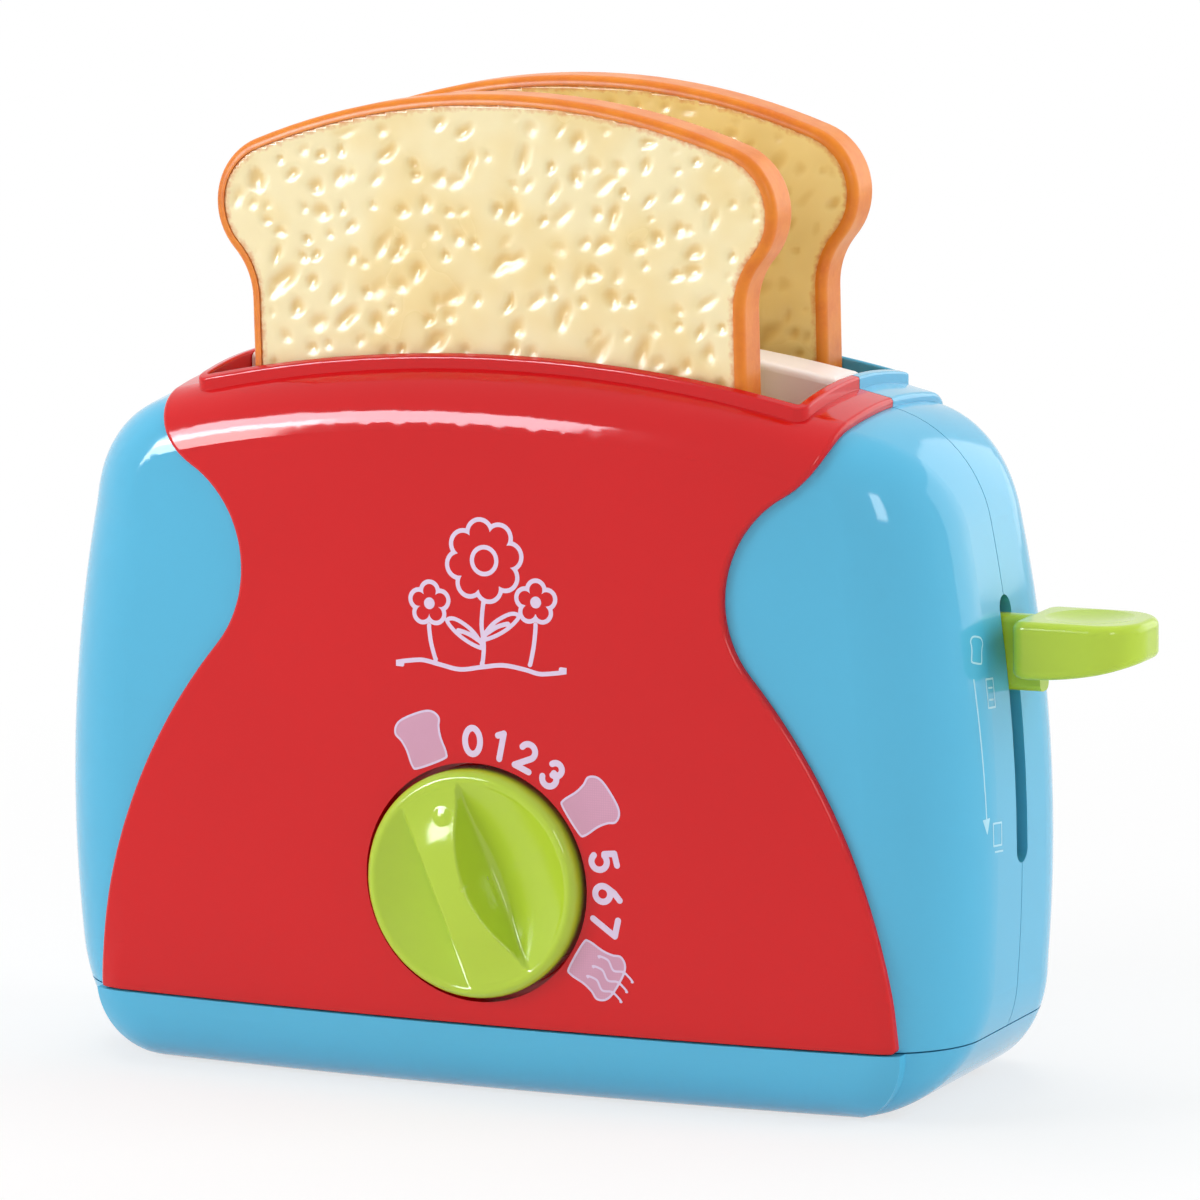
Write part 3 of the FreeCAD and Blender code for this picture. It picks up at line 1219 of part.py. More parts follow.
def toothed(name, kind, x, z, phase):
    """A spur gear whose first tooth points at an angle, clockwise from +Z seen from the front."""
    body = DOC.addObject("PartDesign::Body", name)
    pad(body, name + "_blank", circle_sketch(body, name + "_round", f"{kind}_pitch - dedendum"),
        "gear_width")
    tooth = pad(body, name + "_tooth", tooth_sketch(body, name + "_flanks", f"{kind}_pitch"),
                "gear_width")
    pattern = body.newObject("PartDesign::PolarPattern", name + "_teeth")
    pattern.Originals = [tooth]
    pattern.Axis = (body.Origin.OriginFeatures[2], [""])
    pattern.Angle = 360
    bind(pattern, "Occurrences", f"{kind}_teeth")
    body.Tip = pattern
    body.Placement = Placement(Vector(), Rotation(Vector(0, 1, 0), phase) * FORWARD)
    return place(body, x, "-(gear_rear)", z)


def gear_phases():
    """Angles at which the three wheels mesh when the dial stands at rest."""
    to_barrel = math.degrees(math.atan2(number("barrel_x"), number("barrel_z - knob_height")))
    barrel_step = 360 / number("barrel_teeth")
    barrel = to_barrel + 180 + barrel_step / 2
    to_governor = 90 + number("governor_angle")
    behind = (to_governor - barrel) % barrel_step
    ratio = number("barrel_teeth / governor_teeth")
    governor = to_governor + 180 + behind * ratio + 180 / number("governor_teeth")
    return {"pinion": to_barrel, "barrel": barrel, "governor": governor}


def timer_wheels():
    """Drive pinion, spring barrel and governor wheel."""
    phases = gear_phases()
    pinion = toothed("pinion_gear", "pinion", 0, "knob_height", phases["pinion"])
    node(cut("pinion_body", pinion, [rod("pinion_bore", "y", (0, -FAR, "knob_height"), FAR,
                                         "shaft_radius + seat_gap")]), "drive_pinion")
    at = ("barrel_x", "barrel_z")
    depth = "gear_front - drum_rear"
    drum = rods("barrel_drum", "y", [at], "-(gear_rear) - 0.5 * gear_width",
                "gear_rear + 0.5 * gear_width - drum_rear", "drum_radius")
    room = rods("barrel_room", "y", [at], "-(gear_rear)", "gear_rear", "drum_radius - drum_wall")
    hub = rods("barrel_hub", "y", [at], "-gear_front", depth, "hub_radius")
    wheel = toothed("barrel_gear", "barrel", *at, phases["barrel"])
    shell = cut("barrel_shell", fuse("barrel_blank", [wheel] + drum), room)
    bore = rods("barrel_bore", "y", [at], -FAR, FAR, "arbor_radius + running_gap")
    node(cut("barrel_body", fuse("barrel_solid", [shell] + hub), bore), "spring_barrel")
    lid = rods("lid_disc", "y", [at], "-drum_rear", "lid_thickness", "drum_radius")
    node(cut("lid_body", lid[0], rods("lid_bore", "y", [at], -FAR, FAR,
                                      "arbor_radius + running_gap")), "barrel_lid")
    governor_wheel(phases["governor"])


def governor_wheel(phase):
    at = ("governor_x", "governor_z")
    gear = toothed("governor_gear", "governor", *at, phase)
    hub = rods("governor_hub_rod", "y", [at], "-(gear_rear) - 0.5 * gear_width",
               "gear_rear + 0.5 * gear_width - flywheel_front", "governor_hub")
    wheel = rods("flywheel", "y", [at], "-flywheel_front", "flywheel_width", "flywheel_radius")
    tools = rods("governor_bore", "y", [at], -FAR, FAR, "governor_pin + running_gap")
    middle = "0.5 * (governor_hub + flywheel_radius)"
    for turn in (45, 135, 225, 315):
        spot = (f"governor_x + {middle} * cos({turn})", f"governor_z + {middle} * sin({turn})")
        tools += rods(f"flywheel_hole_{turn}", "y", [spot], "-flywheel_front - 1",
                      "flywheel_width + 2", "0.7 * governor_hub")
    node(cut("governor_body", fuse("governor_solid", [gear] + hub + wheel), tools),
         "governor_wheel")


def mainspring():
    """A flat spiral strip, coiled between the barrel's hub and its drum."""
    pitch = number("mainspring_pitch")
    half = number("mainspring_strip") / 2
    inner = []
    outer = []
    for index in range(2 * int(number("mainspring_turns"))):
        radius = number("mainspring_inner") + index * pitch / 2
        centre = (pitch / 2 * (index % 2), 0)
        start = 180 * (index % 2)
        outer.append(arc(centre, radius + half, start, start + 180))
        inner.append(arc(centre, radius - half, start + 180, start))
    strip = closed_face(outer + inner[::-1])
    front = number("gear_rear - crumb_gap")
    piece = prism("mainspring_strip_coil", strip, -front, -number("drum_rear") - 0.5)
    piece.Placement = Placement(Vector(number("barrel_x"), 0, number("barrel_z")), Rotation())
    node(piece, "mainspring")


def timer_pins():
    """Knob shaft, barrel arbor and governor pin."""
    node(rod("shaft_bar", "y", (0, "-shaft_front", "knob_height"), "shaft_front - shaft_back",
             "shaft_radius"), "knob_shaft")
    length = "case_front - cover_rear - 2 * fit_gap"
    node(rod("arbor_bar", "y", ("barrel_x", "fit_gap - case_front", "barrel_z"), length,
             "arbor_radius"), "barrel_arbor")
    node(rod("governor_bar", "y", ("governor_x", "fit_gap - case_front", "governor_z"), length,
             "governor_pin"), "governor_pin")


def pin_holes(name):
    """Holes of the case's front plate and its cover: the shaft turns, the pins sit tight."""
    return [
        rod(name + "_shaft_hole", "y", (0, -FAR, "knob_height"), FAR, "shaft_radius + running_gap"),
        rod(name + "_arbor_hole", "y", ("barrel_x", -FAR, "barrel_z"), FAR,
            "arbor_radius + seat_gap"),
        rod(name + "_governor_hole", "y", ("governor_x", -FAR, "governor_z"), FAR,
            "governor_pin + seat_gap"),
    ]


def timer_case():
    """Case of the clockwork: front plate, walls, corner posts and four mounting lugs."""
    wall = "case_wall"
    outer = box("case_block", ("case_left", "case_right"), ("-case_front", "-case_rear"),
                ("case_bottom", "case_top"))
    room = box("case_room", (f"case_left + {wall}", f"case_right - {wall}"),
               ("plate - case_front", 0), (f"case_bottom + {wall}", f"case_top - {wall}"))
    posts = rods("case_post", "y", cover_screws_at(), "-case_front", "case_front - case_rear",
                 "case_post")
    lugs = []
    for height in ("lug_low", "lug_high"):
        for side, span in (("left", ("-lug_x - lug_half", f"case_left + {wall}")),
                           ("right", (f"case_right - {wall}", "lug_x + lug_half"))):
            lugs.append(box(f"case_{height}_{side}", span, ("-lug_front", "lug_thickness - lug_front"),
                            (f"{height} - lug_half", f"{height} + lug_half")))
    tools = pin_holes("case")
    tools += rods("case_post_hole", "y", cover_screws_at(),
                  "-(cover_rear) - small_length - spare_depth", "2 * small_length",
                  "small_screw + seat_gap")
    tools += rods("case_lug_hole", "y", timer_screws_at(), -FAR, FAR, "small_screw + small_clearance")
    hollow = cut("case_hollow", outer, [room])
    node(cut("case_body", fuse("case_solid", [hollow] + posts + lugs), tools), "timer_case")


def timer_cover():
    cover = box("cover_plate", ("case_left", "case_right"), ("-case_rear", "-(cover_rear)"),
                ("case_bottom", "case_top"))
    tools = pin_holes("cover")
    tools += rods("cover_hole", "y", cover_screws_at(), -FAR, FAR, "small_screw + small_clearance")
    tools.append(rod("cover_latch_hole", "y", ("latch_x", -FAR, "latch_z"), FAR,
                     "latch_pin + seat_gap"))
    node(cut("cover_body", cover, tools), "timer_cover")


# ------------------------------------------------------------ cam and latch

def turned(point, centre, angle):
    """A point turned about a Y axis; positive is clockwise seen from the front."""
    return centre + Rotation(Vector(0, 1, 0), angle).multVec(point - centre)


def latch_points():
    """Shaft, latch pivot and the middle of the tail's round tip at rest.

    The tail is square to the line from the shaft to its tip, so that it moves straight
    towards the shaft as the cam falls.
    """
    shaft = Vector(0, 0, number("knob_height"))
    pivot = Vector(number("latch_x"), 0, number("latch_z"))
    reach = number("cam_radius + tail_gap + 0.5 * tail_width")
    line = pivot - shaft
    opening = math.degrees(math.acos(reach / line.Length))
    tip = shaft + Rotation(Vector(0, 1, 0), -opening).multVec(line * (reach / line.Length))
    return shaft, pivot, tip


def angle_of(offset):
    return math.degrees(math.atan2(offset.z, offset.x))


def release_cam():
    """Cam whose edge keeps its gap to the latch's tail while dial and latch turn together."""
    shaft, pivot, tip = latch_points()
    spare = number("tail_gap + 0.5 * tail_width")
    turn = number("dial_turn")
    steps = 12
    flank = []
    for step in range(steps + 1):
        dial = turn * step / steps
        moved = turned(tip, pivot, -number("latch_swing") * step / steps) - shaft
        edge = moved * (1 - spare / moved.Length)
        flank.append(shaft + Rotation(Vector(0, 1, 0), -dial).multVec(edge))
    curve = Part.BSplineCurve()
    curve.interpolate(flank)
    centre = (shaft.x, shaft.z)
    first = angle_of(flank[0] - shaft)
    last = angle_of(flank[-1] - shaft)
    lead = first - number("cam_lead")
    low = (flank[-1] - shaft).Length
    outline = closed_face([arc(centre, number("cam_radius"), lead, first), curve.toShape(),
                           arc(centre, low, last, lead + (360 if last > lead else 0))])
    plate = prism("cam_plate", outline, -number("cam_front"), -number("cam_rear"))
    bore = rod("cam_bore", "y", (0, -FAR, "knob_height"), FAR, "shaft_radius + seat_gap")
    node(cut("cam_body", plate, [bore]), "release_cam")


def link(name, start, end, width, front, rear):
    """A flat link with round ends between two points."""
    along = angle_of(end - start)
    face = closed_face([arc((end.x, end.z), width / 2, along - 90, along + 90),
                        arc((start.x, start.z), width / 2, along + 90, along + 270)])
    return prism(name, face, front, rear)


def latch():
    """Rocker with a tail that follows the cam and a nose that holds the carriage's tooth."""
    shaft, pivot, tip = latch_points()
    front = -number("latch_front")
    rear = -number("latch_rear")
    half = number("0.5 * nose_width")
    nose = pivot + Vector(number("nose_reach") - half, 0, half - number("nose_drop"))
    pieces = [
        rod("latch_hub_disc", "y", ("latch_x", "-latch_front", "latch_z"), "latch_width", "latch_hub"),
        link("latch_tail", pivot, tip, number("tail_width"), front, rear),
        link("latch_nose", pivot, nose, number("nose_width"), front, rear),
    ]
    bore = rod("latch_bore", "y", ("latch_x", -FAR, "latch_z"), FAR, "latch_pin + running_gap")
    node(cut("latch_body", fuse("latch_solid", pieces), [bore]), "latch")


def latch_pin_and_spring():
    at = [("latch_x", "latch_z")]
    bar = rods("pin_bar", "y", at, "-case_rear", "case_rear - latch_pin_rear", "latch_pin")
    head = rods("pin_cap", "y", at, "-latch_pin_rear", "pin_head_height", "pin_head")
    node(fuse("pin_body", bar + head), "latch_pin")
    wire = number("torsion_wire")
    start = number("latch_rear") - wire
    length = start - number("latch_pin_rear") - wire
    shape = coil(number("latch_pin") + 2 * wire, wire, length, number("torsion_turns"))
    piece = feature("torsion_coil", shape)
    piece.Placement = Placement(Vector(number("latch_x"), -start, number("latch_z")), TURN["y"])
    node(piece, "latch_spring")


# ----------------------------------------------------------------- screws

def screws(label, axis, places, seat, length, size):
    """Cross-head screws, all alike, that share one node and stay separate solids.

    Along z they point up and their heads lie under the seat; along y they point to the
    front and their heads lie behind it.
    """
    radius, head, height = size
    pieces = []
    for index, (first, second) in enumerate(places, start=1):
        tag = f"{label}_{index}"
        shank = rod(tag + "_shank", "z", (0, 0, 0), length, radius)
        cap = rod(tag + "_cap", "z", (0, 0, f"-({height})"), height, head)
        long, short = f"0.6 * ({head})", f"0.12 * ({head})"
        depth = (f"-2 * ({height})", f"-0.45 * ({height})")
        cross = [box(tag + "_slot_x", (f"-{long}", long), (f"-{short}", short), depth),
                 box(tag + "_slot_y", (f"-{short}", short), (f"-{long}", long), depth)]
        piece = cut(tag, fuse(tag + "_solid", [shank, cap]), cross)
        piece.Placement = Placement(Vector(), FORWARD if axis == "y" else Rotation())
        point = (first, seat, second) if axis == "y" else (first, second, seat)
        pieces.append(place(piece, *point))
    node(group(label + "_group", pieces), label)


LARGE = ("screw_radius", "screw_head", "head_height")
SMALL = ("small_screw", "small_head", "small_head_height")
WASHER = ("small_screw", "washer_head", "small_head_height")


def fasteners():
    screws("base_screws", "z", base_screws_at(), "base_head_seat", "screw_length", LARGE)
    screws("guide_screws", "z", guide_screws_at(), "guide_screw_seat", "small_length", SMALL)
    screws("shell_screws", "y", shell_screws_at(), "shell_head_seat", "screw_length", LARGE)
    screws("panel_screws", "y", pegs_at(), "-peg_end", "panel_screw_length", WASHER)
    screws("timer_screws", "y", timer_screws_at(), "lug_thickness - lug_front", "small_length", SMALL)
    screws("cover_screws", "y", cover_screws_at(), "-(cover_rear)", "small_length", SMALL)
    screws("lever_screws", "y", lever_screws_at(), "plate_rear", "short_length", SMALL)


# -------------------------------------------------------------- the toaster

def check_all():
    """Stop if any feature failed or any solid is empty or invalid."""
    for piece in DOC.Objects:
        if {"Invalid", "Error"} & set(piece.State):
            raise RuntimeError(f"{piece.Label} failed: {piece.State}")
    for piece in NODES:
        shape = piece.Shape
        if shape.isNull() or not shape.isValid() or not shape.Solids:
            raise RuntimeError(f"{piece.Label} has no valid solid")


def export_all():
    os.makedirs("parts", exist_ok=True)
    for piece in NODES:
        piece.Shape.exportStep(os.path.join("parts", piece.Label + ".step"))
        box_of = piece.Shape.BoundBox
        print(f"{piece.Label:20s} {len(piece.Shape.Solids):2d} solids {piece.Shape.Volume:10.1f} mm3"
              f"  X {box_of.XMin:7.2f} {box_of.XMax:7.2f}  Y {box_of.YMin:7.2f} {box_of.YMax:7.2f}"
              f"  Z {box_of.ZMin:7.2f} {box_of.ZMax:7.2f}")


front_shell()
rear_shell()
front_panel()
base_tray()
bread_guide()
guide_rods()
lift_springs()
carriage()
lever()
toast_slice("slice_front", -number("slice_face"))
toast_slice("slice_rear", number("slice_face - slice_thickness"))
knob()
timer_case()
timer_cover()
timer_pins()
timer_wheels()
mainspring()
release_cam()
latch()
latch_pin_and_spring()
fasteners()

DOC.recompute()
check_all()
export_all()
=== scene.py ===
import math
import random

import bmesh
import bpy
import numpy as np
from bpy.props import FloatProperty, FloatVectorProperty, IntProperty, PointerProperty
from mathutils import Matrix, Vector, noise
from mathutils.bvhtree import BVHTree


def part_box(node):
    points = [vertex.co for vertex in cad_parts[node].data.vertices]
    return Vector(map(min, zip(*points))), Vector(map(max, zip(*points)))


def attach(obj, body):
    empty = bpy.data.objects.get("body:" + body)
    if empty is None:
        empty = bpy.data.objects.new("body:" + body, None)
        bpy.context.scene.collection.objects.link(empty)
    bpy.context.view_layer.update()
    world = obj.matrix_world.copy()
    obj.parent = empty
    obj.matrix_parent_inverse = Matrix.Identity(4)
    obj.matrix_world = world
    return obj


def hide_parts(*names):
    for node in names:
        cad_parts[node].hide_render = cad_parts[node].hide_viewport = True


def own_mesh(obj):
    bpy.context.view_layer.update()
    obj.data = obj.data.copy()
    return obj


bl_info = {
    "name": "Toy toaster",
    "version": (1, 0, 0),
    "blender": (4, 5, 0),
    "location": "View3D > Sidebar > Toaster",
    "description": "Finishes, prints, toast slices and dial knob of a toy pop-up toaster",
    "category": "Object",
}

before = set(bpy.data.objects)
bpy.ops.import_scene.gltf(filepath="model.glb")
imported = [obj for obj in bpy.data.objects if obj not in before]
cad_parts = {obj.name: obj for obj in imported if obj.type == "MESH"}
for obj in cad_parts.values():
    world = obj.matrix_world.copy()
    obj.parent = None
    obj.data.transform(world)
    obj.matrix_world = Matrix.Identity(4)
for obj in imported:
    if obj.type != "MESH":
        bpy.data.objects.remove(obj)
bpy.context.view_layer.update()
MM = 0.001
UP = Vector((0, 0, 1))


def linear(code):
    """An sRGB hex colour as linear red, green, blue and alpha."""
    values = [int(code[at:at + 2], 16) / 255 for at in (1, 3, 5)]
    return tuple(v / 12.92 if v <= 0.04045 else ((v + 0.055) / 1.055) ** 2.4 for v in values) + (1.0,)


# ------------------------------------------------------------- settings

def colour(name, description, code):
    return FloatVectorProperty(name=name, description=description, subtype="COLOR", size=4,
                               min=0, max=1, default=linear(code))


def length(name, description, millimetres):
    return FloatProperty(name=name, description=description, subtype="DISTANCE", unit="LENGTH",
                         default=millimetres * MM, min=0, precision=5)


def angle(name, description, degrees):
    return FloatProperty(name=name, description=description, subtype="ANGLE", unit="ROTATION",
                         default=math.radians(degrees))


def level(name, description, default):
    return FloatProperty(name=name, description=description, default=default, min=0, soft_max=20)


class ToasterFinishes(bpy.types.PropertyGroup):
    body: colour("Body", "Sky blue of the shells and the tray", "#50B4DA")
    panel: colour("Front panel", "Red of the front panel", "#D10A11")
    controls: colour("Lever and dial", "Lime green of the lever and the dial knob", "#B4D037")
    guide: colour("Bread guide", "Warm white of the divider", "#F6ECE6")
    crust: colour("Crust", "Toasted orange of the crust", "#E6851E")
    crust_shade: colour("Crust shade", "Darker orange sprayed along the crust's inner edge", "#D86F1C")
    crumb: colour("Crumb", "Cream of the crumb", "#F9E9B8")
    crumb_warm: colour("Crumb warm", "Yellow sprayed over the crumb in patches", "#EFCF80")
    # Painted bounce light and shade: the rear crumb is the same cream as the front, and this deeper yellow
    # paints the warm light bounced into the shaded gap between the slices.
    crumb_rear_painted_bounce: colour("Rear crumb", "Deeper yellow painted on the rear slice as bounce light in its shade", "#FFE296")
    # Partly painted shade: the dents' toasted yellow also stands in for the shade that falls in their
    # hollows.
    crumb_dent_toast_and_shade: colour("Crumb dents", "Toasted yellow in the dents, deepened as painted shade", "#DFB25A")
    ink: colour("Ink", "Pale lilac of the printed numbers and lines", "#DCC6E0")
    ink_fill: colour("Ink fill", "Pink of the printed slices", "#D49AB4")
    ink_side: colour("Side ink", "Thin white of the marks beside the lever", "#A9DAEC")


class ToasterSlices(bpy.types.PropertyGroup):
    pitch: length("Mesh pitch", "Distance between the points of a crumb face", 0.7)
    dent_pitch: length("Dent distance", "Usual distance from dent to dent", 5.1)
    dent_radius: length("Dent radius", "Usual radius of a dent", 1.25)
    dent_depth: length("Dent depth", "Usual depth of a dent", 0.65)
    swell: length("Swell", "Height of the broad swellings of the crumb", 0.14)
    skirt: length("Skirt", "How far a crumb face turns in behind the crust", 1.4)
    seed: IntProperty(name="Seed", description="Start value of the dents' places", default=11)


class ToasterKnob(bpy.types.PropertyGroup):
    edge: length("Edge", "Rounding of the knob's front edge", 2.2)
    dish_radius: length("Dish radius", "Radius of the finger dish", 20.0)
    dish_depth: length("Dish depth", "Depth of the finger dish", 5.6)
    gap: length("Gap", "How much smaller the knob is than its rounded blank", 0.5)
    grip_left: length("Grip left", "Distance of the bar's left edge from the axis", 7.3)
    grip_right: length("Grip right", "Distance of the bar's right edge from the axis, at its ends", 5.8)
    scoop: length("Scoop", "How far the right edge is scooped in halfway along the bar", 5.2)
    draft: length("Grip draft", "How much wider the bar is at its foot, to the left", 2.6)
    slope: length("Grip slope", "Width of the scooped flank halfway along the bar", 3.1)
    crown: length("Crown", "Radius of the bar's crowned top", 50.0)
    crown_rise: length("Crown rise", "How far the bar's middle stands over the rim", 2.1)
    blend: length("Blend", "Softness of the bar's edges and its foot", 0.6)
    dot_radius: length("Dot radius", "Radius of the pointer dot", 1.8)
    dot_rise: length("Dot rise", "Height of the pointer dot", 0.32)
    dot_distance: length("Dot distance", "Distance of the dot from the axis", 14.0)
    lean: angle("Lean", "Lean of the grip bar to the left at rest", 22.5)


class ToasterSprings(bpy.types.PropertyGroup):
    wire: length("Wire", "Thickness of the spring wire", 0.9)
    turns: IntProperty(name="Turns", description="Turns of a spring, with a closed one at each end",
                       default=13, min=4)


class ToasterPrints(bpy.types.PropertyGroup):
    rise: length("Ink rise", "Height of the ink over the plastic", 0.03)
    pitch: length("Mesh pitch", "Distance between the points of a print", 0.16)
    stroke: length("Stroke", "Width of the numbers' strokes", 1.2)
    outline: length("Outline", "Width of the printed slices' outline", 0.42)
    digit_ring: length("Number ring", "Distance of the numbers from the dial's axis", 26.9)
    icon_ring: length("Slice ring", "Distance of the printed slices from the dial's axis", 28.6)
    emblem_line: length("Emblem line", "Width of the flower emblem's lines", 0.85)
    emblem_x: FloatProperty(name="Emblem X", description="Middle of the emblem, to the right",
                            subtype="DISTANCE", unit="LENGTH", default=1.4 * MM)
    emblem_z: length("Emblem Z", "Height of the middle of the emblem", 95.2)
    side_line: length("Side line", "Width of the lines beside the lever", 0.36)


class ToasterStage(bpy.types.PropertyGroup):
    azimuth: angle("Azimuth", "Direction of the camera, from the front to the right", 24.68)
    elevation: angle("Elevation", "Height of the camera over the horizon", 9.29)
    roll: angle("Roll", "Roll of the camera, anticlockwise", -0.64)
    distance: length("Distance", "Distance of the camera from its aim", 1513.8)
    lens: FloatProperty(name="Lens", description="Focal length for a 36 mm frame, in millimetres",
                        default=240.0, min=10)
    aim_x: length("Aim X", "Where the camera aims, to the right", 9.3)
    aim_z: length("Aim Z", "Where the camera aims, height", 89.8)
    ambient: level("Ambient", "Light from all round", 0.4)
    overhead: level("Overhead", "Power of the overhead lamp, in watts", 8.5)
    key: level("Key", "Power of the lamp at the left, in watts", 9.4)
    side: level("Side", "Power of the lamp at the right, behind, in watts", 7.5)
    fill: level("Fill", "Power of the lamp beside the camera, in watts", 3.2)


# ---------------------------------------------------------------- tools

def add(material, kind, inputs=None, **settings):
    """Add a node with its settings; an input takes a value or another node's output."""
    tree = material.node_tree
    made = tree.nodes.new(kind)
    for name, value in settings.items():
        setattr(made, name, value)
    for name, value in (inputs or {}).items():
        if isinstance(value, bpy.types.NodeSocket):
            tree.links.new(value, made.inputs[name])
        else:
            made.inputs[name].default_value = value
    return made


def blank(name):
    """A new material with its output only, and object coordinates in millimetres."""
    material = bpy.data.materials.new(name)
    material.use_nodes = True
    material.node_tree.nodes.clear()
    place = add(material, "ShaderNodeTexCoord").outputs["Object"]
    scaled = add(material, "ShaderNodeVectorMath", {0: place, 1: (1000, 1000, 1000)},
                 operation="MULTIPLY")
    return material, scaled.outputs[0]


def close(material, inputs):
    """Finish a material with a Principled shader."""
    shader = add(material, "ShaderNodeBsdfPrincipled", inputs)
    add(material, "ShaderNodeOutputMaterial", {"Surface": shader.outputs[0]})
    return material


def noise_at(material, place, size, detail=2.0, roughness=0.5):
    """Noise whose features are about that many millimetres wide."""
    made = add(material, "ShaderNodeTexNoise", {"Vector": place, "Scale": 1 / size, "Detail": detail,
                                                "Roughness": roughness})
    return made.outputs["Fac"]


def spread(material, value, low, high, start=0.0, end=1.0):
    """A value from start to end, spread between low and high."""
    made = add(material, "ShaderNodeMapRange", {"Value": value, "From Min": start, "From Max": end,
                                                "To Min": low, "To Max": high})
    return made.outputs[0]


def mixed(material, share, first, second):
    made = add(material, "ShaderNodeMix", {0: share, 6: first, 7: second}, data_type="RGBA")
    return made.outputs[2]


def bumped(material, height, distance, strength=1.0, below=None):
    inputs = {"Height": height, "Distance": distance * MM, "Strength": strength}
    if below is not None:
        inputs["Normal"] = below
    return add(material, "ShaderNodeBump", inputs).outputs[0]


def shade(base, factor):
    return tuple(min(1.0, value * factor) for value in base[:3]) + (1.0,)


def mesh_piece(name, points, faces, material, body, smooth=True):
    """A new piece that rides on a body and wears the finish it is given."""
    mesh = bpy.data.meshes.new(name)
    mesh.from_pydata([tuple(point) for point in points], [], faces)
    mesh.materials.append(material)
    mesh.polygons.foreach_set("use_smooth", [smooth] * len(mesh.polygons))
    mesh.update()
    piece = bpy.data.objects.new(name, mesh)
    bpy.context.scene.collection.objects.link(piece)
    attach(piece, body)
    return piece


def paint(names, material):
    for name in names:
        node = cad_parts[name]
        if not node.material_slots:
            node.data.materials.append(material)
        for slot in node.material_slots:
            slot.material = material


# ------------------------------------------------- flat shapes for prints

def path_distance(x, y, edges):
    """Distance of every point (x, y) from a set of straight edges."""
    nearest = np.full(x.shape, 1e9)
    for (ax, ay), (bx, by) in edges:
        dx, dy = bx - ax, by - ay
        span = max(dx * dx + dy * dy, 1e-18)
        share = np.clip(((x - ax) * dx + (y - ay) * dy) / span, 0, 1)
        nearest = np.minimum(nearest, np.hypot(x - ax - share * dx, y - ay - share * dy))
    return nearest


def area_distance(x, y, edges):
    """Signed distance from the closed outline that the edges make, negative inside."""
    inside = np.zeros(x.shape, bool)
    for (ax, ay), (bx, by) in edges:
        if ay != by:
            crosses = (ay > y) != (by > y)
            inside ^= crosses & (x < ax + (y - ay) / (by - ay) * (bx - ax))
    distance = path_distance(x, y, edges)
    return np.where(inside, -distance, distance)


def chain(points, closed=False):
    return list(zip(points, points[1:] + points[:1])) if closed else list(zip(points, points[1:]))


def oval(cx, cy, rx, ry, start=0, end=360, steps=28):
    """Points along an oval between two angles, anticlockwise from the right."""
    turns = [math.radians(start + (end - start) * step / steps) for step in range(steps + 1)]
    return [(cx + rx * math.cos(turn), cy + ry * math.sin(turn)) for turn in turns]


def rounded(points, steps=6):
    """A smooth closed line through points."""
    made = []
    count = len(points)
    for index in range(count):
        a, b, c, d = (np.array(points[(index + shift) % count]) for shift in (-1, 0, 1, 2))
        for step in range(steps):
            t = step / steps
            made.append(tuple(0.5 * (2 * b + (c - a) * t + (2 * a - 5 * b + 4 * c - d) * t ** 2
                                     + (3 * b - 3 * c + d - a) * t ** 3)))
    return made


def trace(field, left, low, pitch):
    """Points and faces of the area where a grid of signed distances is below zero."""
    points, faces, known = [], [], {}
    inside = field < 0

    def point(a, b):
        key = (a, b) if a <= b else (b, a)
        if key not in known:
            (i, j), (k, m) = key
            share = 0.0 if a == b else field[i, j] / (field[i, j] - field[k, m])
            known[key] = len(points)
            points.append((left + pitch * (j + share * (m - j)), low + pitch * (i + share * (k - i))))
        return known[key]

    busy = inside[:-1, :-1] | inside[1:, :-1] | inside[:-1, 1:] | inside[1:, 1:]
    for i, j in np.argwhere(busy).tolist():
        ring = [(i, j), (i, j + 1), (i + 1, j + 1), (i + 1, j)]
        face = []
        for a, b in zip(ring, ring[1:] + ring[:1]):
            if inside[a]:
                face.append(point(a, a))
            if inside[a] != inside[b]:
                face.append(point(a, b))
        if len(face) > 2:
            faces.append(face)
    return points, faces


def traced(field_of, half_width, half_height, pitch):
    """Trace a shape whose signed distance field_of gives, in a box round the origin."""
    columns = np.arange(-half_width, half_width + pitch, pitch)
    rows = np.arange(-half_height, half_height + pitch, pitch)
    x, y = np.meshgrid(columns, rows)
    return trace(field_of(x, y), columns[0], rows[0], pitch)


def turned(points, degrees, ring=0.0):
    """Move flat points out to a ring and turn them clockwise about its middle."""
    turn = math.radians(degrees)
    made = []
    for x, y in points:
        y += ring
        made.append((x * math.cos(turn) + y * math.sin(turn), y * math.cos(turn) - x * math.sin(turn)))
    return made


def shifted(points, x, y):
    return [(px + x, py + y) for px, py in points]


class Print:
    """Flat shapes in millimetres that are laid together on one CAD node as one piece."""

    def __init__(self, node, origin, across, inward):
        self.tree = BVHTree.FromObject(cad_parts[node], bpy.context.evaluated_depsgraph_get())
        self.origin, self.across, self.inward = Vector(origin), Vector(across), Vector(inward)
        self.points, self.faces, self.inks = [], [], []

    def lay(self, shape, rise, ink=0):
        points, faces = shape
        first = len(self.points)
        for x, y in points:
            start = self.origin + self.across * x * MM + UP * y * MM - self.inward * 0.1
            spot, normal, index, distance = self.tree.ray_cast(start, self.inward)
            if spot is None:
                raise RuntimeError("a print reaches past the piece it is printed on")
            self.points.append(spot - self.inward * rise)
        flip = self.across.cross(UP).dot(self.inward) > 0
        for face in faces:
            numbers = [first + number for number in face]
            self.faces.append(numbers[::-1] if flip else numbers)
            self.inks.append(ink)

    def made(self, name, inks, body, slot):
        piece = mesh_piece(name, self.points, self.faces, inks[0], body)
        for ink in inks[1:]:
            piece.data.materials.append(ink)
        piece.data.polygons.foreach_set("material_index", self.inks)
        return piece


# -------------------------------------------------------------- finishes

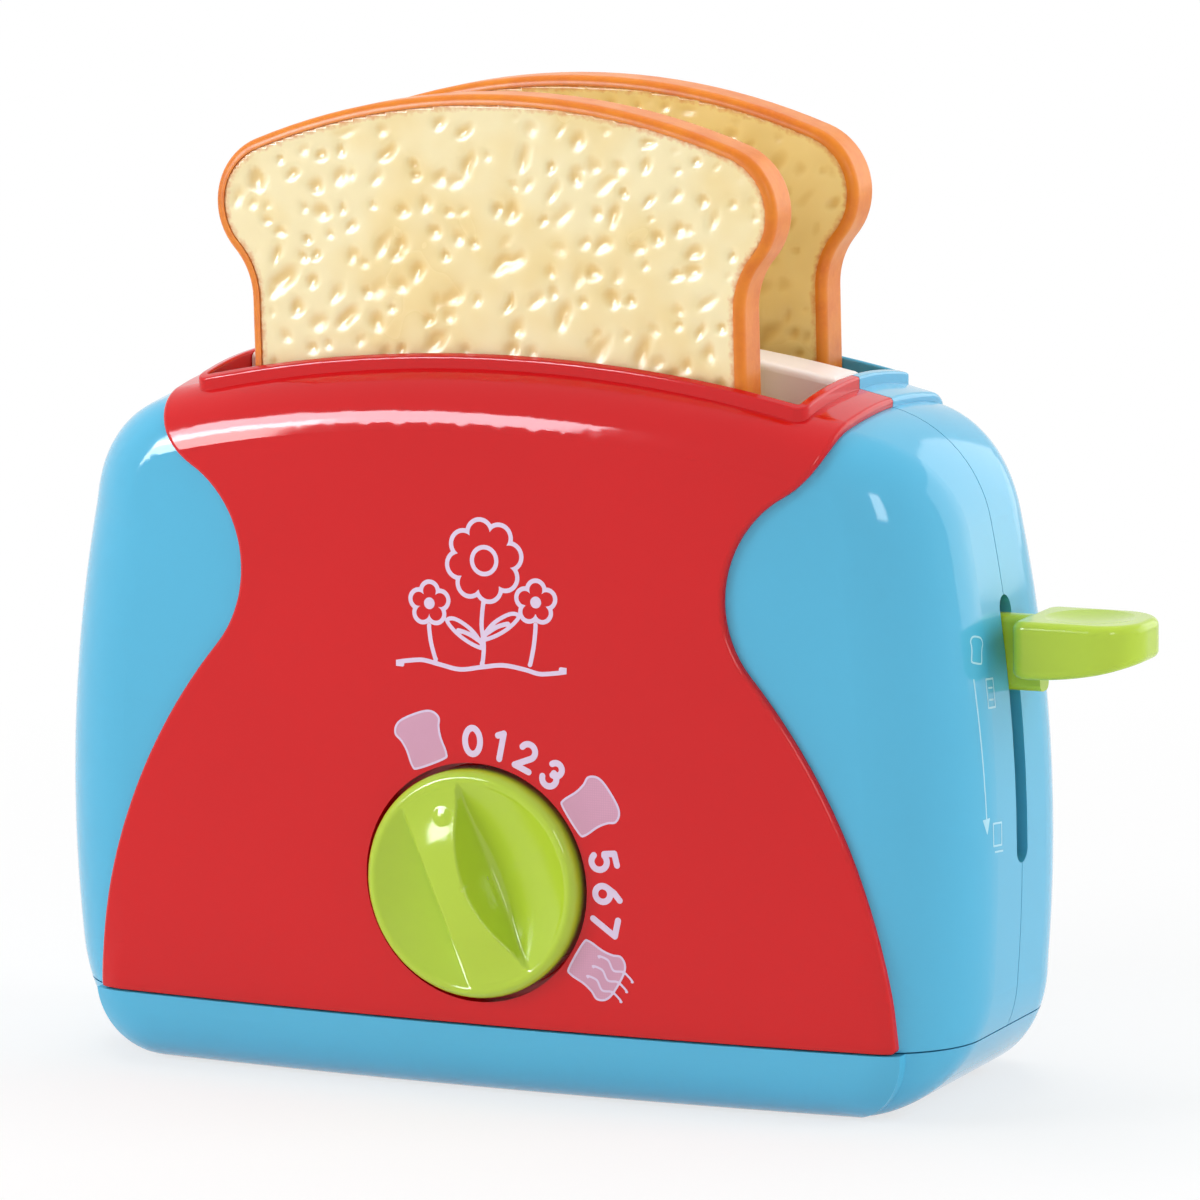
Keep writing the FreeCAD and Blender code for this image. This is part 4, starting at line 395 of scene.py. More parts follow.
def moulded_abs(name, base, gloss, softness=0.0, index=1.5):
    """ABS, injection moulded in a polished steel mould: a bright, slightly wavy gloss."""
    material, place = blank(name)
    flow = noise_at(material, place, 45, 1.0)
    # Faint flow shade, from wall thickness and melt flow.
    tint = mixed(material, flow, shade(base, 0.95), shade(base, 1.05))
    # Handling haze of a few millimetres breaks up the highlights a little.
    haze = spread(material, noise_at(material, place, 7, 4.0, 0.6), gloss * 0.8, gloss * 1.25)
    # Sink waves of 14 mm under a grain of 0.35 mm, drawn coarser than the real 0.1 mm to show.
    waves = bumped(material, noise_at(material, place, 14, 1.0), 0.03, 0.3)
    grain = bumped(material, noise_at(material, place, 0.35, 1.0), 0.004, 0.3, waves)
    return close(material, {"Base Color": tint, "Roughness": haze, "Normal": grain, "IOR": index,
                            "Subsurface Weight": softness, "Subsurface Radius": (1.0, 1.0, 0.6),
                            "Subsurface Scale": 0.0015})


def sprayed_crust(name, base, darker):
    """Soft PVC, cast and sprayed with orange toast colour: satin, with uneven cover."""
    material, place = blank(name)
    # Spray cover varies over about 6 mm, with finer speckle of 0.8 mm.
    cover = noise_at(material, place, 6, 3.0, 0.6)
    speckle = noise_at(material, place, 0.8, 2.0)
    share = spread(material, cover, 0.0, 0.85, 0.38, 0.72)
    tint = mixed(material, share, base, darker)
    tint = mixed(material, spread(material, speckle, 0.0, 0.25, 0.5, 0.8), tint, shade(base, 1.15))
    skin = bumped(material, noise_at(material, place, 2.4, 3.0), 0.09, 0.5)
    return close(material, {"Base Color": tint, "Normal": skin, "IOR": 1.43,
                            "Roughness": spread(material, cover, 0.26, 0.42),
                            "Subsurface Weight": 0.12, "Subsurface Radius": (1.0, 0.5, 0.25),
                            "Subsurface Scale": 0.002})


def cast_crumb(name, base, warm, dent_toast_and_shade, orange):
    """Soft PVC crumb, cast with dents, airbrushed yellow in patches, toasted yellow with painted shade in
    the dents, and a glossy skin.
    """
    material, place = blank(name)
    # Two attributes of the mesh: how deep a point lies in a dent, and how near the crust it is.
    dent = add(material, "ShaderNodeAttribute", attribute_name="dent").outputs["Fac"]
    rim = add(material, "ShaderNodeAttribute", attribute_name="rim").outputs["Fac"]
    # Airbrushed patches of about 16 mm.
    patch = spread(material, noise_at(material, place, 16, 2.0), 0.0, 0.6, 0.42, 0.68)
    tint = mixed(material, patch, base, warm)
    # Darker toasted yellow the deeper the dent: partly the crumb's toast colour, partly painted shade in
    # the hollows.
    tint = mixed(material, spread(material, dent, 0.0, 0.62, 0.15, 0.95), tint, dent_toast_and_shade)
    # Overspray of the crust's orange, ragged over 1 to 2 mm.
    ragged = noise_at(material, place, 1.3, 2.0)
    edge = add(material, "ShaderNodeMath", {0: rim, 1: spread(material, ragged, 0.25, 1.3)},
               operation="MULTIPLY").outputs[0]
    tint = mixed(material, spread(material, edge, 0.0, 0.9, 0.42, 1.0), tint, orange)
    # Crumb pores of 0.9 mm under a lacquer-like skin.
    skin = bumped(material, noise_at(material, place, 0.9, 2.0), 0.03, 0.4)
    return close(material, {"Base Color": tint, "Normal": skin, "IOR": 1.52,
                            "Roughness": spread(material, patch, 0.23, 0.31),
                            "Subsurface Weight": 0.05, "Subsurface Radius": (1.0, 0.8, 0.4),
                            "Subsurface Scale": 0.002})


def pad_ink(name, base, screened=0.0):
    """Pad-printed two-part ink: flat satin film, screened into 0.45 mm dots where it is a tint."""
    material, place = blank(name)
    cover = noise_at(material, place, 1.6, 3.0)
    tint = mixed(material, spread(material, cover, 0.0, 0.5, 0.35, 0.75), base, shade(base, 0.93))
    if screened:
        dots = add(material, "ShaderNodeTexVoronoi", {"Vector": place, "Scale": 1 / 0.45,
                                                      "Randomness": 0.0})
        tint = mixed(material, spread(material, dots.outputs["Distance"], 0.0, screened, 0.25, 0.5),
                     tint, shade(base, 0.86))
    return close(material, {"Base Color": tint, "IOR": 1.48,
                            "Roughness": spread(material, cover, 0.38, 0.5)})


def satin_nylon(name, base):
    """Nylon or acetal, moulded with a spark-eroded texture: satin and slightly waxy."""
    material, place = blank(name)
    grain = noise_at(material, place, 0.5, 3.0)
    tint = mixed(material, noise_at(material, place, 12, 2.0), shade(base, 0.94), shade(base, 1.04))
    return close(material, {"Base Color": tint, "IOR": 1.53, "Subsurface Weight": 0.08,
                            "Subsurface Radius": (1.0, 1.0, 0.8), "Subsurface Scale": 0.001,
                            "Roughness": spread(material, grain, 0.34, 0.5),
                            "Normal": bumped(material, grain, 0.02, 0.4)})


def drawn_metal(name, base, gloss, line):
    """Drawn or turned metal wire, rod and sheet, with fine lines of about that many millimetres."""
    material, place = blank(name)
    stretched = add(material, "ShaderNodeVectorMath", {0: place, 1: (1.0, 1.0, 0.05)},
                    operation="MULTIPLY").outputs[0]
    lines = noise_at(material, stretched, line, 3.0)
    stain = noise_at(material, place, 5, 3.0)
    tint = mixed(material, stain, shade(base, 0.88), shade(base, 1.05))
    return close(material, {"Base Color": tint, "Metallic": 1.0,
                            "Roughness": spread(material, stain, gloss * 0.75, gloss * 1.35),
                            "Normal": bumped(material, lines, 0.01, 0.5)})


class TOASTER_OT_finishes(bpy.types.Operator):
    """Give each moulding and metal part the finish of its real material"""
    bl_idname = "toaster.finishes"
    bl_label = "Finish the mouldings"

    def execute(self, context):
        colours = context.scene.toaster_finishes
        paint(["front_shell", "rear_shell", "base_tray"],
              moulded_abs("Sky blue ABS, gloss moulded", tuple(colours.body), 0.085))
        paint(["front_panel"],
              moulded_abs("Cherry red ABS, gloss moulded", tuple(colours.panel), 0.075, index=1.42))
        paint(["lever"], moulded_abs("Lime ABS, gloss moulded", tuple(colours.controls), 0.14, 0.1))
        paint(["bread_guide"],
              moulded_abs("Warm white ABS, satin moulded", tuple(colours.guide), 0.32, 0.05))
        crust = sprayed_crust("Orange PVC crust, sprayed", tuple(colours.crust),
                              tuple(colours.crust_shade))
        paint(["slice_front_crust", "slice_rear_crust"], crust)
        paint(["carriage"], satin_nylon("Grey acetal, satin moulded", linear("#CFCCC6")))
        paint(["timer_case", "timer_cover"],
              satin_nylon("Grey ABS, spark-eroded texture", linear("#BDBAB3")))
        paint(["drive_pinion", "spring_barrel", "barrel_lid", "release_cam", "latch"],
              satin_nylon("Natural nylon, moulded gears", linear("#E9E2D0")))
        paint(["governor_wheel"], drawn_metal("Turned brass", linear("#D9B25A"), 0.24, 0.3))
        paint(["guide_rod_left", "guide_rod_right", "knob_shaft", "barrel_arbor", "governor_pin",
               "latch_pin"], drawn_metal("Drawn steel, nickel plated", linear("#C9CBCE"), 0.2, 0.4))
        paint(["mainspring", "latch_spring"],
              drawn_metal("Music wire, oiled", linear("#8F9196"), 0.3, 0.2))
        paint(["base_screws", "guide_screws", "shell_screws", "panel_screws", "timer_screws",
               "cover_screws", "lever_screws"],
              drawn_metal("Zinc-plated screw steel", linear("#C5C7CB"), 0.33, 0.5))
        return {"FINISHED"}


# ----------------------------------------------------------------- slices

def face_edges(node, side):
    """Outline of a CAD node's front or rear face as edges in X and Z, in millimetres."""
    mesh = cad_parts[node].data
    low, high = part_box(node)
    depth = low.y if side < 0 else high.y
    counts = {}
    for face in mesh.polygons:
        flat = abs(mesh.vertices[face.vertices[0]].co.y - depth) < 1e-5
        if flat and face.normal.y * side > 0.99:
            spots = [tuple(round(value / MM, 4) for value in mesh.vertices[number].co.xz)
                     for number in face.vertices]
            for a, b in chain(spots, closed=True):
                key = (a, b) if a < b else (b, a)
                counts[key] = counts.get(key, 0) + 1
    return [edge for edge, count in counts.items() if count == 1], depth


def scattered(settings, seed, low, high):
    """Places, sizes and slants of the dents, on a jittered grid."""
    dice = random.Random(seed)
    pitch = settings.dent_pitch / MM
    dents = []
    rows = int((high.z - low.z) / MM / pitch) + 2
    columns = int((high.x - low.x) / MM / pitch) + 2
    for row in range(rows):
        for column in range(columns):
            if dice.random() < 0.1:
                continue
            x = low.x / MM + pitch * (column + 0.5 * (row % 2) + dice.uniform(-0.36, 0.36))
            z = low.z / MM + pitch * (row + dice.uniform(-0.36, 0.36))
            size = dice.uniform(0.6, 1.3) * settings.dent_radius / MM
            depth = dice.uniform(0.5, 1.2) * settings.dent_depth / MM
            long = dice.choice((1.0, 1.0, 1.2, 1.5, 2.2))
            dents.append((x, z, size, depth, long, math.radians(dice.uniform(25, 75))))
    return dents


def crumb_face(node, side, settings, seed):
    """One dented face of a crumb: points, faces, dent depths and nearness to the crust."""
    edges, depth = face_edges(node, side)
    low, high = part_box(node)
    pitch = settings.pitch / MM
    columns = np.arange(low.x / MM - 2 * pitch, high.x / MM + 2 * pitch, pitch)
    rows = np.arange(low.z / MM - 2 * pitch, high.z / MM + 2 * pitch, pitch)
    x, z = np.meshgrid(columns, rows)
    flat, faces = trace(area_distance(x, z, edges), columns[0], rows[0], pitch)
    flat = np.array(flat)
    inner = -area_distance(flat[:, 0], flat[:, 1], edges)
    # Dents are bent out of round by a slow noise.
    bend = np.array([noise.noise_vector(Vector((px / 2.6, pz / 2.6, seed))) for px, pz in flat])
    dent = np.zeros(len(flat))
    for cx, cz, size, deep, long, slant in scattered(settings, seed, low, high):
        near = np.hypot(flat[:, 0] - cx, flat[:, 1] - cz) < 4 * size * long
        u, v = (flat[near] - (cx, cz) + 0.6 * bend[near, :2]).T
        along = (u * math.cos(slant) + v * math.sin(slant)) / long
        across = v * math.cos(slant) - u * math.sin(slant)
        bowl = deep * np.exp(-((along ** 2 + across ** 2) / size ** 2) ** 1.3)
        dent[near] = np.maximum(dent[near], bowl)
    fade = np.clip((inner - 0.6) / 2.0, 0, 1)
    dent *= fade * fade * (3 - 2 * fade)
    swell = np.array([noise.noise(Vector((px / 7, pz / 7, seed))) for px, pz in flat])
    sunk = dent + settings.swell / MM * (0.6 - swell) * np.clip(inner / 4, 0, 1)
    points = [(px * MM, depth - side * deep * MM, pz * MM) for (px, pz), deep in zip(flat, sunk)]
    if side > 0:
        faces = [face[::-1] for face in faces]
    most = settings.dent_depth / MM
    return points, faces, np.clip(dent / most, 0, 1), np.clip(1 - inner / 2.6, 0, 1)


def crumb(name, node, body, material, settings, seed):
    """Both dented faces of a crumb, each turned in behind the crust band."""
    points, faces, dents, rims = [], [], [], []
    for side in (-1, 1):
        new_points, new_faces, new_dents, new_rims = crumb_face(node, side, settings, seed + side)
        first = len(points)
        points += new_points
        faces += [[first + number for number in face] for face in new_faces]
        dents += new_dents.tolist()
        rims += new_rims.tolist()
    piece = mesh_piece(name, points, faces, material, body)
    for label, values in (("dent", dents), ("rim", rims)):
        piece.data.attributes.new(label, "FLOAT", "POINT").data.foreach_set("value", values)
    shape = bmesh.new()
    shape.from_mesh(piece.data)
    border = [edge for edge in shape.edges if edge.is_boundary]
    middle = sum(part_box(node)[index].y for index in (0, 1)) / 2
    grown = bmesh.ops.extrude_edge_only(shape, edges=border)["geom"]
    for vertex in (part for part in grown if isinstance(part, bmesh.types.BMVert)):
        vertex.co.y += settings.skirt if vertex.co.y < middle else -settings.skirt
    shape.to_mesh(piece.data)
    shape.free()
    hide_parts(node)


class TOASTER_OT_slices(bpy.types.Operator):
    """Cast the two dented crumbs of the toast slices"""
    bl_idname = "toaster.slices"
    bl_label = "Toast crumbs"

    def execute(self, context):
        colours = context.scene.toaster_finishes
        settings = context.scene.toaster_slices
        # The rear crumb's base carries the painted bounce light of the shaded gap between the slices.
        bases = {"front": colours.crumb, "rear": colours.crumb_rear_painted_bounce}
        for index, where in enumerate(bases):
            material = cast_crumb(f"Cream PVC crumb, airbrushed, {where} slice", tuple(bases[where]),
                                  tuple(colours.crumb_warm), tuple(colours.crumb_dent_toast_and_shade),
                                  tuple(colours.crust_shade))
            crumb(f"{where}_crumb_cast", f"slice_{where}_crumb", f"slice_{where}", material,
                  settings, settings.seed + 10 * index)
        return {"FINISHED"}


# ------------------------------------------------------------------- knob

def soft_max(a, b, width):
    """The greater of two heights, with the corner between them filled."""
    share = np.clip(0.5 + 0.5 * (a - b) / width, 0, 1)
    return b + (a - b) * share + width * share * (1 - share) * 0.5


def soft_min(a, b, width):
    return -soft_max(-a, -b, width)


def knob_height(x, z, radius, settings):
    """How far the knob's front lies behind its rim plane, in metres, negative for the dot."""
    out = np.hypot(x, z)
    sphere = (settings.dish_radius ** 2 / settings.dish_depth + settings.dish_depth) / 2
    dish = sphere - np.sqrt(sphere ** 2 - np.minimum(out, settings.dish_radius + MM) ** 2)
    rise = soft_min(dish, np.full_like(dish, settings.dish_depth), settings.blend)
    lean = settings.lean
    across = x * math.cos(lean) + z * math.sin(lean)
    along = z * math.cos(lean) - x * math.sin(lean)
    # One finger's scoop: deepest halfway along the bar, and gone at its ends.
    share = np.clip(1 - (along / settings.dish_radius) ** 2, 0, 1)
    top = settings.grip_right - settings.scoop * share
    width = settings.slope * (0.2 + 0.8 * share)
    scooped = (top + width - across) / width
    scooped = np.sign(scooped) * np.abs(scooped) ** 1.3
    straight = (across + settings.grip_left + settings.draft) / settings.draft
    flank = settings.dish_depth * np.minimum(scooped, straight)
    crown = settings.dish_depth + settings.crown_rise - out ** 2 / (2 * settings.crown)
    # Its ends level off just below the rim, so no valley lies between them.
    level = np.full_like(crown, settings.dish_depth - 0.2 * MM)
    crown = soft_max(crown, level, settings.blend * 2)
    bar = soft_min(flank, crown, settings.blend * 1.6)
    # The foot of the bar is softest halfway along.
    rise = soft_max(rise, bar, settings.blend * (0.6 + 2 * share))
    edge = np.clip((out - radius + settings.edge) / settings.edge, 0, 1)
    rise = rise - settings.edge * (1 - np.sqrt(1 - edge ** 2))
    dot_x = -settings.dot_distance * math.sin(lean)
    dot_z = settings.dot_distance * math.cos(lean)
    off = np.hypot(x - dot_x, z - dot_z) / settings.dot_radius
    return settings.dish_depth - rise - settings.dot_rise * np.clip(1 - off ** 2, 0, 1)


class TOASTER_OT_knob(bpy.types.Operator):
    """Turn the dial knob with its finger dish, soft grip bar and pointer dot"""
    bl_idname = "toaster.knob"
    bl_label = "Dial knob"

    def execute(self, context):
        settings = context.scene.toaster_knob
        low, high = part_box("knob")
        radius = (high.x - low.x) / 2 - settings.gap
        centre = Vector(((high.x + low.x) / 2, 0, (high.z + low.z) / 2))
        front = low.y + settings.dot_rise
        rings, sectors = 88, 336
        # The rings crowd towards the rounded edge.
        steps = [radius * math.sin(0.5 * math.pi * (ring / rings) ** 0.85) for ring in range(1, rings + 1)]
        turns = np.arange(sectors) * 2 * math.pi / sectors
        points = [(centre.x, front + float(knob_height(np.zeros(1), np.zeros(1), radius, settings)[0]),
                   centre.z)]
        for out in steps:
            x, z = out * np.cos(turns), out * np.sin(turns)
            depth = knob_height(x, z, radius, settings)
            points += [(centre.x + a, front + d, centre.z + b) for a, d, b in zip(x, depth, z)]
        points += [(centre.x + radius * math.cos(turn), high.y, centre.z + radius * math.sin(turn))
                   for turn in turns]
        faces = [[0, 1 + index, 1 + (index + 1) % sectors] for index in range(sectors)]
        for ring in range(rings):
            inner, outer = 1 + ring * sectors, 1 + (ring + 1) * sectors
            for index in range(sectors):
                after = (index + 1) % sectors
                faces.append([inner + index, outer + index, outer + after, inner + after])
        faces.append([1 + rings * sectors + index for index in range(sectors)][::-1])
        colours = context.scene.toaster_finishes
        material = moulded_abs("Lime ABS, gloss moulded dial", tuple(colours.controls), 0.1)
        piece = mesh_piece("dial_knob", points, faces, material, "knob")
        piece.data.polygons[-1].use_smooth = False
        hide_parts("knob")
        return {"FINISHED"}


# ---------------------------------------------------------------- springs

def wound(low, high, wire, turns, steps=28, sides=8):
    """Points and faces of an upright spring whose first and last turns are closed."""
    radius = (high.x - low.x - wire) / 2
    inside = high.z - low.z - wire
    turn = np.linspace(0, turns, turns * steps + 1)[:, None]
    height = np.interp(turn, [0, 1, turns - 1, turns], [0, wire, inside - wire, inside])
    lean = math.atan(inside / turns / (2 * math.pi * radius))
    round_axis = 2 * math.pi * turn
    round_wire = 2 * math.pi * np.arange(sides)[None, :] / sides
    out = radius + wire / 2 * np.cos(round_wire)
    tilt = wire / 2 * np.sin(round_wire) * math.sin(lean)
    x = (low.x + high.x) / 2 + out * np.cos(round_axis) + tilt * np.sin(round_axis)
    y = (low.y + high.y) / 2 + out * np.sin(round_axis) - tilt * np.cos(round_axis)
    z = low.z + wire / 2 + height + wire / 2 * np.sin(round_wire) * math.cos(lean)
    points = np.stack([x, y, z], axis=-1).reshape(-1, 3)
    faces = [list(range(sides)), list(range(len(points) - sides, len(points)))[::-1]]
    for start in range(0, len(points) - sides, sides):
        for index in range(sides):
            after = (index + 1) % sides
            faces.append([start + index, start + sides + index, start + sides + after, start + after])
    return points, faces


class TOASTER_OT_springs(bpy.types.Operator):
    """Wind the two lift springs at their rest length; the mesh does not flatten as the carriage comes down
    on them
    """
    bl_idname = "toaster.springs"
    bl_label = "Lift springs"

    def execute(self, context):
        settings = context.scene.toaster_springs
        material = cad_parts["mainspring"].material_slots[0].material
        for side in ("left", "right"):
            node = f"lift_spring_{side}"
            low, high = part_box(node)
            points, faces = wound(low, high, settings.wire, settings.turns)
            piece = mesh_piece(f"{side}_lift_coil", points, faces, material, "housing")
            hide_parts(node)
            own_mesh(piece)
        return {"FINISHED"}


# ----------------------------------------------------------------- prints

TALL = 2.45

DIGITS = {
    "0": [oval(0, 0, 1.55, TALL)],
    "1": [[(-0.75, 1.8), (0.35, TALL), (0.35, -TALL)]],
    "2": [oval(0, 1.0, 1.45, 1.45, 165, -38, 16) + [(-1.5, -TALL), (1.6, -TALL)]],
    "3": [oval(0, 1.2, 1.25, 1.25, 160, -85, 16), oval(0, -1.0, 1.45, 1.45, 85, -160, 16)],
    "5": [[(1.3, TALL), (-0.95, TALL), (-1.2, 0.45)] + oval(0, -0.9, 1.55, 1.55, 125, -150, 18)],
    "6": [oval(0, -0.95, 1.5, 1.5), [(1.0, TALL), (-0.3, 1.35), (-1.2, 0.0), (-1.5, -0.9)]],
    "7": [[(-1.55, TALL), (1.55, TALL), (-0.5, -TALL)]],
}

# Angle on the dial, clockwise from the top, and what is printed there.
DIAL = [(-0.5, "0"), (11.5, "1"), (23.5, "2"), (36.5, "3"), (77, "5"), (90.5, "6"), (103, "7")]
DIAL_SLICES = [(-22, False), (56, False), (121, True)]

SLICE = rounded([(-2.8, -4.8), (2.8, -4.8), (3.8, -4.0), (3.8, -0.9), (4.2, 1.2), (4.85, 2.7),
                 (4.0, 4.2), (2.0, 4.85), (-2.0, 4.85), (-4.0, 4.2), (-4.85, 2.7), (-4.2, 1.2),
                 (-3.8, -0.9), (-3.8, -4.0)])

STEAM = [[(x, -0.8), (x - 0.6, 0.9), (x + 0.5, 2.8), (x - 0.4, 4.7), (x + 0.3, 6.9)]
         for x in (-2.3, 0.0, 2.3)]


def strokes(paths, width):
    """The field of some paths drawn with a round pen."""
    edges = [edge for path in paths for edge in chain(path)]
    return lambda x, y: path_distance(x, y, edges) - width / 2


def wavy(path, steps=5):
    """An open path made smooth."""
    return rounded(path, steps)[:(len(path) - 1) * steps + 1]


class TOASTER_OT_dial_marks(bpy.types.Operator):
    """Print the numbers and the toast pictograms round the dial"""
    bl_idname = "toaster.dial_marks"
    bl_label = "Dial marks"

    def execute(self, context):
        settings = context.scene.toaster_prints
        colours = context.scene.toaster_finishes
        low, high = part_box("knob")
        middle = (low + high) / 2
        dial = Print("front_panel", (middle.x, -0.06, middle.z), (1, 0, 0), (0, 1, 0))
        pitch = settings.pitch / MM
        for degrees, digit in DIAL:
            points, faces = traced(strokes(DIGITS[digit], settings.stroke / MM), 3.2, 3.6, pitch)
            dial.lay((turned(points, degrees, settings.digit_ring / MM), faces), settings.rise)
        outline = chain(SLICE, closed=True)
        width = settings.outline / MM
        for degrees, steaming in DIAL_SLICES:
            def line(x, y):
                ring = np.abs(area_distance(x, y, outline)) - width / 2
                if steaming:
                    ring = np.minimum(ring, strokes([wavy(path) for path in STEAM], width)(x, y))
                return ring

            def fill(x, y):
                return area_distance(x, y, outline)
            for field, rise, ink in ((fill, settings.rise, 1), (line, 2 * settings.rise, 0)):
                points, faces = traced(field, 6.5, 8.0, pitch)
                dial.lay((turned(points, degrees, settings.icon_ring / MM), faces), rise, ink)
        inks = [pad_ink("Lilac pad ink", tuple(colours.ink)),
                pad_ink("Pink screened pad ink", tuple(colours.ink_fill), 0.6)]
        dial.made("dial_marks", inks, "housing", "panel_red")
        return {"FINISHED"}


def flower(x, y, petals, reach, size):
    """Signed distance from a flower's scalloped outline round the origin."""
    nearest = np.full(x.shape, 1e9)
    for index in range(petals):
        turn = 2 * math.pi * (index + 0.25) / petals
        nearest = np.minimum(nearest, np.hypot(x - reach * math.cos(turn), y - reach * math.sin(turn)))
    return np.minimum(nearest - size, np.hypot(x, y) - reach)


LEAF = rounded([(0, 0), (2.2, 2.1), (5.6, 2.7), (7.4, 1.6), (5.4, 0.2), (2.4, -0.4)])


def emblem(x, y, width):
    """Field of the emblem: a tall flower between two small ones on a wavy line."""
    lines = [np.abs(flower(x - 0.6, y - 7.0, 8, 5.2, 2.5)) - width / 2,
             np.abs(np.hypot(x - 0.6, y - 7.0) - 2.5) - width / 2]
    for cx, cy in ((-10.6, -1.6), (11.2, -0.2)):
        lines.append(np.abs(flower(x - cx, y - cy, 5, 2.3, 1.75)) - width / 2)
        lines.append(np.hypot(x - cx, y - cy) - 1.1)
    stems = [[(0.6, -0.9), (0.2, -5.0), (0.7, -9.0), (0.3, -12.2)],
             [(-10.6, -5.8), (-10.2, -9.0), (-9.2, -12.0)],
             [(11.2, -4.4), (10.9, -8.2), (10.1, -11.9)]]
    ground = [(-16.2, -13.4), (-12.5, -12.3), (-8.5, -12.9), (-4.2, -13.6), (0.3, -12.9),
              (4.6, -12.3), (8.8, -12.8), (12.6, -13.5), (16.4, -12.4)]
    veins = [[(0.9, -6.9), (3.4, -5.2), (5.6, -4.6)], [(0.2, -8.4), (-2.3, -6.9), (-4.6, -6.4)]]
    lines.append(strokes([wavy(path) for path in stems + [ground] + veins], width)(x, y))
    for side, base in ((1, (0.4, -7.6)), (-1, (0.5, -9.2))):
        leaf = [(base[0] + side * px, base[1] + py + 0.4 * px) for px, py in LEAF]
        lines.append(np.abs(area_distance(x, y, chain(leaf, closed=True))) - 0.45 * width)
    return np.minimum.reduce(lines)


class TOASTER_OT_emblem(bpy.types.Operator):
    """Print the flower emblem over the dial"""
    bl_idname = "toaster.emblem"
    bl_label = "Flower emblem"

    def execute(self, context):
        settings = context.scene.toaster_prints
        colours = context.scene.toaster_finishes
        print_on = Print("front_panel", (settings.emblem_x, -0.06, settings.emblem_z), (1, 0, 0),
                         (0, 1, 0))
        width = settings.emblem_line / MM
        shape = traced(lambda x, y: emblem(x, y, width), 17.5, 15.5, settings.pitch / MM)
        print_on.lay(shape, settings.rise)
        print_on.made("flower_emblem", [pad_ink("Lilac pad ink, emblem", tuple(colours.ink))],
                      "housing", "panel_red")
        return {"FINISHED"}


class TOASTER_OT_lever_marks(bpy.types.Operator):
    """Print the arrow and the two small slices beside the lever's slot"""
    bl_idname = "toaster.lever_marks"
    bl_label = "Lever marks"

    def execute(self, context):
        settings = context.scene.toaster_prints
        colours = context.scene.toaster_finishes
        # The print's middle lies 16.6 mm in front of the seam at half of the lever's travel.
        marks = Print("front_shell", (0.1, -0.0166, 0.068), (0, 1, 0), (-1, 0, 0))
        width = settings.side_line / MM
        head = chain([(-0.9, -11.6), (1.5, -11.5), (0.4, -14.6)], closed=True)
        small = [(px * 0.42, py * 0.5) for px, py in SLICE]
        popped = chain(shifted(turned(small, 14), 1.5, 19.6), closed=True)
        socket = chain([(3.4, 8.6), (6.6, 8.3), (6.6, 13.6), (3.4, 13.9)], closed=True)
        lowered = chain([(2.6, -17.0), (6.4, -17.4), (6.4, -13.2), (2.6, -12.8)], closed=True)
        bars = [[(4.2, 10.0), (5.9, 9.8)], [(4.2, 12.2), (5.9, 12.0)], [(3.2, -18.2), (6.9, -18.6)]]

        def field(x, y):
            lines = [strokes([[(-0.6, 14.4), (0.35, -12.4)]] + bars, width)(x, y),
                     area_distance(x, y, head)]
            for outline in (popped, socket, lowered):
                lines.append(np.abs(area_distance(x, y, outline)) - width / 2)
            return np.minimum.reduce(lines)
        marks.lay(traced(field, 9.0, 24.0, settings.pitch / MM), settings.rise)
        marks.made("lever_marks", [pad_ink("Thin white pad ink", tuple(colours.ink_side))],
                   "housing", "shell_blue")
        return {"FINISHED"}


# ------------------------------------------------------------------ stage

def lamp(name, power, spot, aim, width, height, shows):
    """A rectangular softbox that either lights matt surfaces or shows in glossy ones."""
    light = bpy.data.lights.new(name, "AREA")
    light.shape = "RECTANGLE"
    light.size, light.size_y = width, height
    light.energy = power
    made = bpy.data.objects.new(name, light)
    bpy.context.scene.collection.objects.link(made)
    made.location = spot
    made.rotation_euler = (Vector(aim) - Vector(spot)).to_track_quat("-Z", "Y").to_euler()
    made.visible_diffuse = shows == "matt"
    made.visible_glossy = shows == "gloss"
    made.visible_camera = False
    return made


def seen(material):
    """1 for what the camera, a gloss or a clear piece sees, and 0 for light on a matt surface."""
    rays = add(material, "ShaderNodeLightPath").outputs
    either = add(material, "ShaderNodeMath", {0: rays["Is Camera Ray"], 1: rays["Is Glossy Ray"]},
                 operation="ADD").outputs[0]
    return add(material, "ShaderNodeMath", {0: either, 1: rays["Is Transmission Ray"]},
               operation="ADD", use_clamp=True).outputs[0]


def studio_world(strength):
    """Even light from all round before a white background."""
    world = bpy.data.worlds.new("Studio")
    bpy.context.scene.world = world
    world.use_nodes = True
    world.node_tree.nodes.clear()
    even = add(world, "ShaderNodeBackground", {"Color": (1, 1, 1, 1), "Strength": strength})
    white = add(world, "ShaderNodeBackground", {"Color": (1, 1, 1, 1), "Strength": 1.0})
    both = add(world, "ShaderNodeMixShader", {0: seen(world), 1: even.outputs[0], 2: white.outputs[0]})
    add(world, "ShaderNodeOutputWorld", {"Surface": both.outputs[0]})


def floor_paper():
    """Matt white paper that keeps a light shadow under the toaster."""
    material, place = blank("White backdrop paper")
    fibre = noise_at(material, place, 3, 4.0)
    paper = add(material, "ShaderNodeBsdfPrincipled", {
        "Base Color": mixed(material, fibre, (0.84, 0.84, 0.84, 1), (0.87, 0.87, 0.87, 1)),
        "Roughness": 0.9, "Specular IOR Level": 0.1,
        "Normal": bumped(material, fibre, 0.05, 0.2)})
    glow = add(material, "ShaderNodeEmission", {"Color": (1, 1, 1, 1), "Strength": 1.0})
    away = add(material, "ShaderNodeVectorMath", {0: place}, operation="LENGTH").outputs["Value"]
    share = add(material, "ShaderNodeMath", {0: seen(material),
                                             1: spread(material, away, 0.72, 1.0, 180, 420)},
                operation="MULTIPLY").outputs[0]
    both = add(material, "ShaderNodeMixShader", {0: share, 1: paper.outputs[0], 2: glow.outputs[0]})
    add(material, "ShaderNodeOutputMaterial", {"Surface": both.outputs[0]})
    return material


